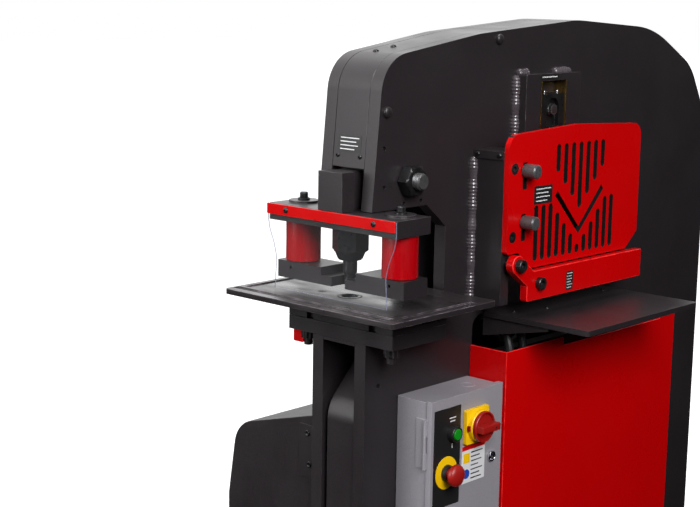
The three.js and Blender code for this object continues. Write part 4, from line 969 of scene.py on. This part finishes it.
class PRESS_OT_table(bpy.types.Operator):
    """Builds the punch table, the bolster under it and the die"""

    bl_idname = "press.table"
    bl_label = "Punch table"

    def execute(self, context):
        sizes = context.scene.press_sizes
        rounded("punch_table", sizes.sheet_edge * 1.6, ["table"])
        rounded("bolster_upper", sizes.plate_edge)
        rounded("bolster_lower", sizes.sheet_edge)
        die_low, die_high = from_column("die")
        x = middle("die").x
        height = die_high.z - die_low.z
        outside = (die_high.x - die_low.x) / 2
        ring = [(14, 0), (outside - 1, 0), (outside, 1), (outside, height - 1.2), (outside - 1.2, height),
                (16.5, height), (14.6, height - 1.4), (13.2, height - 8), (14, 0)]
        fitting("die_finished", [turned(ring, spot(x, 0, die_low.z), UP, 64)], "frame", "black_oxide",
                ["die"])
        plug = turned([(0, 0), (8, 0), (8, 0.3), (5.5, 0.6), (4, 0.2), (0, 0.2)],
                      spot(*TABLE_PLUG, 0), UP, 32)
        fitting("table_plug", [plug], "frame", "black_oxide")
        self.bolster_fittings(context)
        return {"FINISHED"}

    def bolster_fittings(self, context):
        """The head that shows in the bolster's notch, and the red stop lever under its far side."""
        upper_low, _ = from_column("bolster_upper")
        pitch = context.scene.press_sizes.thread_pitch / MM
        screw = cap_head(spot(103, upper_low.y + 16, upper_low.z + 9), UP, 12, 14)
        fitting("bolster_screw", [screw], "frame", "black_oxide")
        lower_low, _ = from_column("bolster_lower")
        foot = lower_low.z + 30
        tips = []
        ridges = [(radius, -height) for radius, height in reversed(thread(8, 0, 29.5, pitch))]
        for side in (-1, 1):
            place = spot(STUD_X, side * STUD_Y, foot)
            tips.append(turned([(0, -31), *ridges, (0, 0)], place, UP, 24))
            tips.append(hex_nut(place, DOWN, 24.6, 18.2))
        fitting("bolster_nuts", tips, "frame", "black_oxide")
        lever = plate(spot(14, 103, foot - 26), spot(24, 127, foot - 2), 3, 0.8 * MM)
        fitting("stop_lever", [lever], "frame", "red")


class PRESS_OT_ram(bpy.types.Operator):
    """Builds the ram, its crosshead bar, the coupling nut and the punch"""

    bl_idname = "press.ram"
    bl_label = "Ram"

    def execute(self, context):
        sizes = context.scene.press_sizes
        rounded("ram", sizes.plate_edge)
        rounded("crosshead_bar", sizes.plate_edge)
        nut_low, nut_high = from_column("coupling_nut")
        x = middle("coupling_nut").x
        flats = nut_high.x - nut_low.x
        corner = flats / math.sqrt(3)
        height = nut_high.z - nut_low.z
        cone = [(13.2, 0), (20, 0), (22, 2), (27, 13.5), (28.5, 14.5), (corner, 17.5)]
        top = [(corner, height - 5), (corner - 4, height - 2.5), (26, height - 2.5), (26, height)]
        bore = [(17.3, height), (17.3, height - 22), (13.2, height - 24), (13.2, 0)]
        nut = turned(cone + top + bore, spot(x, 0, nut_low.z), UP, 48, flats=flats)
        fitting("coupling_nut_finished", [nut], "ram", "black_oxide", nodes=["coupling_nut"])
        punch_low, punch_high = from_column("punch")
        tall = punch_high.z - punch_low.z
        radius = PUNCH_RADIUS
        body = [(0, 0), (radius - 2.4, 0), (radius - 2, 0.4), (radius - 2.6, 15), (radius - 0.4, 18),
                (radius, 20), (radius, tall - 20), (16, tall - 18), (16, tall), (0, tall)]
        punch = turned(body, spot(x, 0, punch_low.z), UP)
        fitting("punch_finished", [punch], "ram", "black_oxide", ["punch"])
        return {"FINISHED"}


class PRESS_OT_stripper(bpy.types.Operator):
    """Builds the stripper plate, its studs and the urethane springs"""

    bl_idname = "press.stripper"
    bl_label = "Stripper"

    def execute(self, context):
        sizes = context.scene.press_sizes
        rounded("stripper_plate", sizes.plate_edge)
        for side in ("near", "far"):
            self.stud(side, sizes.thread_pitch / MM)
            self.spring(side)
        return {"FINISHED"}

    def stud(self, side, pitch):
        """A stud with its nut and the threaded end that stands above the crosshead bar."""
        node = f"stripper_stud_{side}"
        stud_low, stud_high = from_column(node)
        x, y, _ = middle(node)
        tall = stud_high.z - stud_low.z
        collar = tall - 17
        profile = [(0, 0), (8, 0), (8, collar + 0.7), (11, collar + 0.8), (11, collar + 6),
                   (10, collar + 6.6), (7.4, collar + 6.8)]
        profile += thread(8, collar + 7, tall - 1.2, pitch)[1:] + [(6, tall), (0, tall)]
        stud = turned(profile, spot(x, y, stud_low.z), UP, 32)
        fitting(f"{node}_finished", [stud], "stripper", "black_oxide", nodes=[node])

    def spring(self, side):
        """A urethane spring, which on the press shortens as the stripper plate meets the work; this piece
        keeps its turned shape and rides on the ram.
        """
        node = f"urethane_spring_{side}"
        spring_low, spring_high = from_column(node)
        x, y, _ = middle(node)
        outside = (spring_high.x - spring_low.x) / 2
        tall = spring_high.z - spring_low.z
        foot = [(9, 0), (outside - 2.2, 0), (outside - 0.7, 0.7), (outside, 2.4)]
        head = [(radius, tall - height) for radius, height in reversed(foot)]
        profile = foot + [(outside - 0.25, tall / 2)] + head + [(9, 0)]
        rubber = turned(profile, spot(x, y, spring_low.z), UP, 72)
        thing = fitting(f"{node}_finished", [rubber], "ram", "urethane", nodes=[node])
        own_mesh(thing)


class PRESS_OT_shield(bpy.types.Operator):
    """Builds the clear punch shield and the red strip that holds it"""

    bl_idname = "press.shield"
    bl_label = "Shield"

    def execute(self, context):
        sizes = context.scene.press_sizes
        bm = copied("punch_shield")
        soften(bm, sizes.sheet_edge * 0.4)
        for face in bm.faces:
            face.material_index = 0 if abs(face.normal.x) > 0.9 else 1
        shield = piece("punch_shield_finished", bm, "ram", ["clear", "rim"], ["punch_shield"])
        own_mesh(shield)
        strip_low, strip_high = from_column("shield_strip")
        face = strip_low.x + 3
        strip = plate(spot(face, strip_low.y, strip_low.z), spot(*strip_high), 2, sizes.sheet_edge)
        piece("shield_strip_finished", strip, "ram", ["red"], ["shield_strip"])
        screws = [button_head(spot(face, y, strip_high.z - 9), LEFT, 5.2, 2.8) for y in STRIP_SCREWS_Y]
        fitting("shield_screws", screws, "ram", "black_oxide")
        return {"FINISHED"}


# ---------------------------------------------------------------- drive


class PRESS_OT_drive(bpy.types.Operator):
    """Builds the rocker arm, its pivot and the hydraulic cylinder"""

    bl_idname = "press.drive"
    bl_label = "Drive"

    def execute(self, context):
        sizes = context.scene.press_sizes
        rounded("rocker_arm", sizes.plate_edge * 1.4)
        for node in ("main_pivot_pin", "cylinder_barrel", "cylinder_rod"):
            rounded(node, sizes.sheet_edge)
        _, barrel_high = from_column("cylinder_barrel")
        gland = turned([(19, 0), (33, 0), (34.5, 1.5), (34.5, 14), (33, 16), (19, 16), (19, 0)],
                       spot(middle("cylinder_barrel").x, 0, barrel_high.z), UP, 48)
        fitting("cylinder_gland", [gland], "frame", "black_oxide")
        return {"FINISHED"}


# ---------------------------------------------------------------- shear station

LIP_SCREWS_Y = (-75, -125)
GUARD_SCREWS = ((304, 217), (303, 92))
GUARD_LABEL = (365, 422, 146, 180)       # X and rise of its two corners
BAR_LABEL = (455, 477, -24, 12)
STRAP_LABEL = (449, 509, 370, 379)
CARRIER_PINS_X = (473, 515)
BAR_SCREW = (368, 1)                     # X and rise
TABLE_BOLTS = ((363, -110), (436, -134), (662, -110))


class PRESS_OT_shear(bpy.types.Operator):
    """Builds the blade carrier, its guide, the housings and their weld beads"""

    bl_idname = "press.shear"
    bl_label = "Shear"

    def execute(self, context):
        sizes = context.scene.press_sizes
        for node in ("shear_guide", "shear_carrier", "housing_left", "housing_right"):
            rounded(node, sizes.sheet_edge * 1.3)
        # the fixed blade behind the guard takes the painted slot shade, darker than its steel
        rounded("fixed_blade", sizes.sheet_edge, ["shadow"])
        for node in ("gib_left", "gib_right"):
            rounded(node, sizes.sheet_edge * 0.4)
        rounded("shear_drive_pin", sizes.sheet_edge)
        self.welds()
        self.small_parts()
        return {"FINISHED"}

    def welds(self):
        """The beads that hold the housing and the guide to the near plate."""
        house_low, house_high = from_column("housing_left")
        far_wall = from_column("housing_right")[1].x
        for name, x in (("housing_weld", house_low.x + 1.5), ("housing_weld_right", far_wall - 1.5)):
            weld(name, spot(x, NEAR_Y - 0.5, house_low.z + 4), spot(x, NEAR_Y - 0.5, house_high.z - 14))
        guide_low, guide_high = from_column("shear_guide")
        for name, x in (("guide_weld_left", guide_low.x - 0.5), ("guide_weld_right", guide_high.x + 0.5)):
            weld(name, spot(x, NEAR_Y - 1, guide_low.z + 2), spot(x, NEAR_Y - 1, guide_high.z - 2))
        top = guide_high.z + 0.5
        weld("guide_weld_top_left", spot(guide_low.x + 2, NEAR_Y - 1, top),
             spot(guide_low.x + 34, NEAR_Y - 1, top))
        weld("guide_weld_top_right", spot(guide_high.x - 60, NEAR_Y - 1, top),
             spot(guide_high.x - 4, NEAR_Y - 1, top))

    def small_parts(self):
        """The screws, pins and label round the blade carrier."""
        house_low, house_high = from_column("housing_left")
        lip = [button_head(spot(house_low.x, y, house_high.z - 7), LEFT, 4.6, 3) for y in LIP_SCREWS_Y]
        fitting("lip_screws", lip, "frame", "black_oxide")
        guide_low, _ = from_column("shear_guide")
        x0, x1, rise0, rise1 = STRAP_LABEL
        label("strap_label", spot(x0, guide_low.y, rise0), spot(x1, guide_low.y, rise1), "frame", 1)
        _, carrier_high = from_column("shear_carrier")
        shape = [(0, 0), (3.4, 0), (3.4, 5), (2.6, 6), (0, 6)]
        pins = [turned(shape, spot(x, guide_low.y + 8, carrier_high.z), UP, 24) for x in CARRIER_PINS_X]
        fitting("carrier_pins", pins, "shear_carrier", "bright_steel")


class PRESS_OT_guard(bpy.types.Operator):
    """Builds the red slotted guard, its knobs and the hinged bar below it"""

    bl_idname = "press.guard"
    bl_label = "Guard"

    def execute(self, context):
        sizes = context.scene.press_sizes
        sinks = [(spot(x, GUARD_Y, rise), FRONT, 10.4, 5.5) for x, rise in GUARD_SCREWS]
        # the walls inside the guard's slots take the painted slot shade
        rounded("shear_guard", sizes.guard_edge, ["red", "shadow"], sinks, slots_inside=11)
        head = [(0, 0), (10, 0), (10.2, 4.6), (9.4, 5.1), (5.6, 5.1), (5, 4.6), (5, 1.6), (0, 1.2)]
        screws = [turned(head, spot(x, GUARD_Y + 5.4, rise), FRONT, 36, socket=5)
                  for x, rise in GUARD_SCREWS]
        fitting("guard_screws", screws, "frame", "black_oxide")
        x0, x1, rise0, rise1 = GUARD_LABEL
        label("guard_label", spot(x0, GUARD_Y, rise0), spot(x1, GUARD_Y, rise1), "frame", 4)
        rounded("holddown_slide", sizes.sheet_edge)
        for side in ("upper", "lower"):
            self.knob(f"knob_{side}")
        self.hinged_bar(sizes)
        return {"FINISHED"}

    def knob(self, node):
        """A plain satin knob on its stem."""
        knob_low, knob_high = from_column(node)
        x, _, rise = middle(node)
        radius = (knob_high.x - knob_low.x) / 2
        reach = GUARD_Y - knob_low.y
        profile = [(0, -11), (5, -11), (5, 0.6), (radius - 1.4, 0.6), (radius, 2), (radius, reach - 2.6),
                   (radius - 2.2, reach - 0.5), (radius - 3, reach), (0, reach)]
        fitting(f"{node}_finished", [turned(profile, spot(x, GUARD_Y, rise), FRONT)], "holddown", "knob",
                [node])

    def hinged_bar(self, sizes):
        """The bar below the guard, with its screw and label, and the bolt that it hangs on."""
        rounded("hinged_bar", sizes.guard_edge)
        bar_low, _ = from_column("hinged_bar")
        screw_x, screw_rise = BAR_SCREW
        screw = cap_head(spot(screw_x, bar_low.y + 1, screw_rise), FRONT, 12, 11)
        fitting("bar_screw", [screw], "hinged_bar", "black_oxide")
        x0, x1, rise0, rise1 = BAR_LABEL
        label("bar_label", spot(x0, bar_low.y, rise0), spot(x1, bar_low.y, rise1), "hinged_bar", 6)
        _, bolt_high = from_column("hinge_bolt")
        x, _, rise = middle("hinge_bolt")
        reach = bolt_high.y - bar_low.y
        shank = turned([(0, 0), (8, 0), (8, reach), (0, reach)], spot(x, bolt_high.y, rise), FRONT, 32)
        head = cap_head(spot(x, bar_low.y - 0.4, rise), FRONT, 12, 11.6)
        fitting("hinge_bolt_finished", [shank, head], "frame", "black_oxide", nodes=["hinge_bolt"])


class PRESS_OT_shear_table(bpy.types.Operator):
    """Builds the shear table and its bolts"""

    bl_idname = "press.shear_table"
    bl_label = "Shear table"

    def execute(self, context):
        rounded("shear_table", context.scene.press_sizes.plate_edge)
        _, table_high = from_column("shear_table")
        bolts = [button_head(spot(x, y, table_high.z), UP, 5, 2.4) for x, y in TABLE_BOLTS]
        fitting("shear_table_bolts", bolts, "frame", "black_oxide")
        return {"FINISHED"}


# ---------------------------------------------------------------- covers and power unit


class PRESS_OT_covers(bpy.types.Operator):
    """Builds the red cabinet cover and the hinged far cover"""

    bl_idname = "press.covers"
    bl_label = "Covers"

    def execute(self, context):
        sizes = context.scene.press_sizes
        rounded("cabinet_cover", sizes.plate_edge)
        rounded("far_cover", sizes.plate_edge)
        rounded("cover_hinge_pin", sizes.sheet_edge)
        pin_low, pin_high = from_column("cover_hinge_pin")
        face, y, _ = from_column("far_cover")[0]
        leaf = plate(spot(face - 1.6, y + 1, pin_low.z), spot(face, y + 34, pin_high.z), 3, 0.4 * MM)
        bolts = []
        for i in (0, 1):
            place = spot(face - 1.6, y + 12 - 5 * i, pin_high.z - 16 - 58 * i)
            bolts.append(cap_head(place, LEFT, 5.5, 2.3))
        fitting("cover_hinge_leaf", [leaf], "far_cover", "charcoal")
        fitting("cover_hinge_screws", bolts, "far_cover", "black_oxide")
        return {"FINISHED"}


class PRESS_OT_power_unit(bpy.types.Operator):
    """Builds the oil tank, the pump motor, the valve block and the hoses"""

    bl_idname = "press.power_unit"
    bl_label = "Power unit"

    def execute(self, context):
        sizes = context.scene.press_sizes
        rounded("oil_tank", sizes.plate_edge)
        rounded("valve_block", sizes.plate_edge)
        for node in ("hose_upper", "hose_lower"):
            hose = rounded(node, sizes.sheet_edge)
            hose.data.set_sharp_from_angle(angle=math.radians(60))
        self.motor()
        return {"FINISHED"}

    def motor(self):
        """A finned motor with its fan cowl, foot and pump."""
        unit_low, unit_high = from_column("pump_motor")
        y = middle("pump_motor").y
        radius = (unit_high.y - unit_low.y) / 2
        rise = unit_high.z - radius
        x = unit_low.x
        end = spot(x, y, rise)
        cowl = turned([(0, 0), (radius - 12, 0), (radius - 2, 8), (radius, 14), (radius, 52), (0, 52)],
                      end, RIGHT, 48)
        barrel = turned([(0, 50), (radius - 7, 50), (radius - 7, 232), (0, 232)], end, RIGHT, 72)
        walls = [f for f in barrel.faces if abs(f.normal.x) < 0.5]
        fins = bmesh.ops.extrude_discrete_faces(barrel, faces=walls[::2])["faces"]
        for fin in fins:
            bmesh.ops.translate(barrel, verts=fin.verts, vec=fin.normal * 6 * MM)
        flange = turned([(0, 230), (radius - 2, 230), (radius, 232), (radius, 248), (radius - 6, 250),
                         (55, 252), (55, 288), (50, 290), (0, 290)], end, RIGHT, 48)
        pump = block(spot(x + 289, y - 40, rise - 45), spot(x + 350, y + 40, rise + 45), 4 * MM)
        port = turned([(0, 0), (13, 0), (13, 9), (11, 11), (0, 11)], spot(x + 320, y - 40, rise), FRONT, 32)
        foot = block(spot(x + 30, y - 60, unit_low.z), spot(x + 220, y + 60, unit_low.z + 40), 3 * MM)
        shapes = [cowl, barrel, flange, pump, port, foot]
        fitting("pump_motor_finished", shapes, "frame", "steel", nodes=["pump_motor"])


# ---------------------------------------------------------------- electrical enclosure

KNUCKLES = 6.2                           # from the door's hinge side to its left face
PANEL = {"x0": 8, "x1": 82, "drop0": 18, "drop1": 200}      # from the top left of the door's face
NOTICE = {"x0": 88, "x1": 155, "drop0": 99, "drop1": 170}
KNOCKOUT = (235, -105)
SWITCH = {"boss": 29.5, "boss_reach": 18, "rotor": 28.5, "rotor_reach": 26, "handle_reach": 41}
HANDLE_W, HANDLE_H = 52, 14


class PRESS_OT_enclosure(bpy.types.Operator):
    """Builds the grey enclosure, its door, hinge and printed panels"""

    bl_idname = "press.enclosure"
    bl_label = "Enclosure"

    def execute(self, context):
        sizes = context.scene.press_sizes
        rounded("enclosure_body", sizes.sheet_edge)
        rounded("enclosure_door", sizes.plate_edge)
        door_low, door_high = from_column("enclosure_door")
        _, box_high = from_column("enclosure_body")
        left, top = door_low.x + KNUCKLES, door_high.z
        ring = turned([(12.5, -0.1), (14.5, -0.1), (14.3, 0.5), (12.7, 0.5), (12.5, -0.1)],
                      spot(*KNOCKOUT, box_high.z), UP, 48)
        fitting("knockout_ring", [ring], "frame", "grey")
        black = plate(spot(left + PANEL["x0"], DOOR_Y - 0.5, top - PANEL["drop1"]),
                      spot(left + PANEL["x1"], DOOR_Y, top - PANEL["drop0"]), 1.5, 0.15 * MM)
        piece("control_panel", black, "door", ["black"])
        label("notice_panel", spot(left + NOTICE["x0"], DOOR_Y, top - NOTICE["drop1"]),
              spot(left + NOTICE["x1"], DOOR_Y, top - NOTICE["drop0"]), "door", 7, header=0.13)
        self.marks(left + NOTICE["x0"] + 14, top - NOTICE["drop0"])
        return {"FINISHED"}

    def marks(self, x, rise):
        """A plain yellow square and a plain blue disc beside the printed lines."""
        square = plate(spot(x - 9, DOOR_Y - 0.9, rise - 33), spot(x + 9, DOOR_Y - 0.3, rise - 15), 2)
        fitting("notice_square", [square], "door", "yellow")
        disc = turned([(0, 0.3), (9, 0.3), (9, 0.9), (0, 0.9)], spot(x, DOOR_Y, rise - 54), FRONT)
        fitting("notice_disc", [disc], "door", "blue")


class PRESS_OT_controls(bpy.types.Operator):
    """Builds the main switch, the start and stop buttons and the door latch"""

    bl_idname = "press.controls"
    bl_label = "Controls"

    def execute(self, context):
        self.switch()
        self.start()
        self.stop()
        self.latch()
        return {"FINISHED"}

    def switch(self):
        """A yellow plate and boss, with a red handle on a recessed red disc."""
        base_low, base_high = from_column("switch_base")
        x, _, rise = middle("switch_base")
        face = base_high.y
        centre = spot(x, face, rise)
        cover = plate(spot(base_low.x, face - 8, base_low.z), spot(*base_high), 4, 1.2 * MM)
        boss, stand = SWITCH["boss"], SWITCH["boss_reach"]
        collar = turned([(0, 7), (boss, 7), (boss, stand - 1.5), (boss - 1.5, stand), (0, stand)],
                        centre, FRONT, 64)
        fitting("switch_base_finished", [cover, collar], "door", "yellow", nodes=["switch_base"])
        side = x - boss
        hasp = plate(spot(side - 3, face - 15, rise - 5), spot(side + 2, face - 9, rise + 5), 1, 0.4 * MM)
        fitting("switch_hasp", [hasp], "door", "red_plastic")
        rotor, reach = SWITCH["rotor"], SWITCH["rotor_reach"]
        disc = turned([(0, 18.3), (rotor - 1, 18.3), (rotor, 19.3), (rotor, reach - 1), (rotor - 1, reach),
                       (rotor - 3.2, reach), (rotor - 4, reach - 1), (rotor - 4.6, reach - 4.5),
                       (0, reach - 4.5)], centre, FRONT, 64)
        out = SWITCH["handle_reach"]
        grip = block(spot(x - HANDLE_W / 2, face - out, rise - HANDLE_H / 2),
                     spot(x + HANDLE_W / 2, face - reach + 8, rise + HANDLE_H / 2), 2.6 * MM)
        mark = turned([(0, 0), (2, 0), (2, 0.3), (0, 0.3)], spot(x + 12, face - out, rise), FRONT, 16)
        bm = joined(in_finish(disc, 0), in_finish(grip, 0), in_finish(mark, 1))
        piece("switch_handle_finished", bm, "switch_handle", ["red_plastic", "black"],
              ["switch_handle"])

    def start(self):
        """A green button in a black collar, with plain bars above and below it."""
        button_low, button_high = from_column("start_button")
        x, _, rise = middle("start_button")
        collar = turned([(11.3, 0), (15, 0), (15, 3), (14.3, 4), (14.3, 11.5), (13.3, 12.5), (11.3, 12.5),
                         (11.3, 0)], spot(x, DOOR_Y - 0.5, rise), FRONT, 48)
        fitting("start_collar", [collar], "door", "black")
        reach = button_high.y - button_low.y
        cap = turned([(0, 0), (10.6, 0), (10.6, reach - 1.6), (9.4, reach), (0, reach)],
                     spot(x, button_high.y, rise), FRONT, 48)
        fitting("start_button_finished", [cap], "start_button", "green", nodes=["start_button"])
        bars = [block(spot(x - half, DOOR_Y - 0.9, rise + foot), spot(x + half, DOOR_Y - 0.4, rise + top))
                for half, foot, top in ((0.8, -27, -19), (9, 28, 30), (7, 22, 24))]
        fitting("panel_marks", bars, "door", "white")

    def stop(self):
        """A red mushroom button on a black collar, over a yellow ring."""
        _, button_high = from_column("estop_button")
        x, _, rise = middle("estop_button")
        ring = turned([(15, 0), (30, 0), (30, 0.9), (29.5, 1.2), (15, 1.2), (15, 0)],
                      spot(x, DOOR_Y - 0.5, rise), FRONT, 64)
        fitting("stop_ring", [ring], "door", "yellow")
        collar = turned([(11.4, 0), (15.4, 0), (15.4, 4), (13.6, 6.5), (13.6, 8), (11.4, 8), (11.4, 0)],
                        spot(x, DOOR_Y - 1.7, rise), FRONT, 48)
        fitting("stop_collar", [collar], "door", "black")
        face = button_high.y - 2
        mushroom = turned([(0, -2), (10.8, -2), (10.8, 18), (19.4, 19.5), (20, 20.4), (20, 25.4),
                           (18.6, 28.4), (14, 31.4), (7, 32.8), (0, 33)], spot(x, face, rise), FRONT, 64)
        fitting("estop_button_finished", [mushroom], "estop_button", "red_plastic", nodes=["estop_button"])

    def latch(self):
        """A plated quarter-turn latch with a slot."""
        _, latch_high = from_column("door_latch")
        x, _, rise = middle("door_latch")
        face = latch_high.y
        disc = turned([(0, 0), (9.6, 0), (10, 0.6), (10, 3.4), (9, 4.8), (7.6, 5), (7, 4.2), (6.2, 2.6),
                       (0, 2.4)], spot(x, face, rise), FRONT, 48)
        blade = block(spot(x - 1.6, face - 6.5, rise - 6), spot(x + 1.6, face - 2, rise + 6), 0.5 * MM)
        fitting("door_latch_finished", [disc, blade], "door_latch", "bright_steel", nodes=["door_latch"])


# ---------------------------------------------------------------- panel and running

STEPS = (
    PRESS_OT_stage,
    PRESS_OT_frame,
    PRESS_OT_guide_bolt,
    PRESS_OT_table,
    PRESS_OT_ram,
    PRESS_OT_stripper,
    PRESS_OT_shield,
    PRESS_OT_drive,
    PRESS_OT_shear,
    PRESS_OT_guard,
    PRESS_OT_shear_table,
    PRESS_OT_covers,
    PRESS_OT_power_unit,
    PRESS_OT_enclosure,
    PRESS_OT_controls,
)


class PRESS_PT_panel(bpy.types.Panel):
    """Lists the press's pieces, sizes and colours."""

    bl_idname = "PRESS_PT_panel"
    bl_label = "Punch and shear press"
    bl_space_type = "VIEW_3D"
    bl_region_type = "UI"
    bl_category = "Press"

    def draw(self, context):
        for step in STEPS:
            self.layout.operator(step.bl_idname)
        for group in (context.scene.press_sizes, context.scene.press_colours):
            for name in group.bl_rna.properties.keys():
                if name not in ("rna_type", "name"):
                    self.layout.prop(group, name)


CLASSES = (PressSizes, PressColours, *STEPS, PRESS_PT_panel)


def register():
    for cls in CLASSES:
        bpy.utils.register_class(cls)
    bpy.types.Scene.press_sizes = PointerProperty(type=PressSizes)
    bpy.types.Scene.press_colours = PointerProperty(type=PressColours)


def unregister():
    del bpy.types.Scene.press_colours
    del bpy.types.Scene.press_sizes
    for cls in reversed(CLASSES):
        bpy.utils.unregister_class(cls)


def main():
    register()
    for step in STEPS:
        group, name = step.bl_idname.split(".")
        getattr(getattr(bpy.ops, group), name)()


if __name__ == "__main__":
    main()
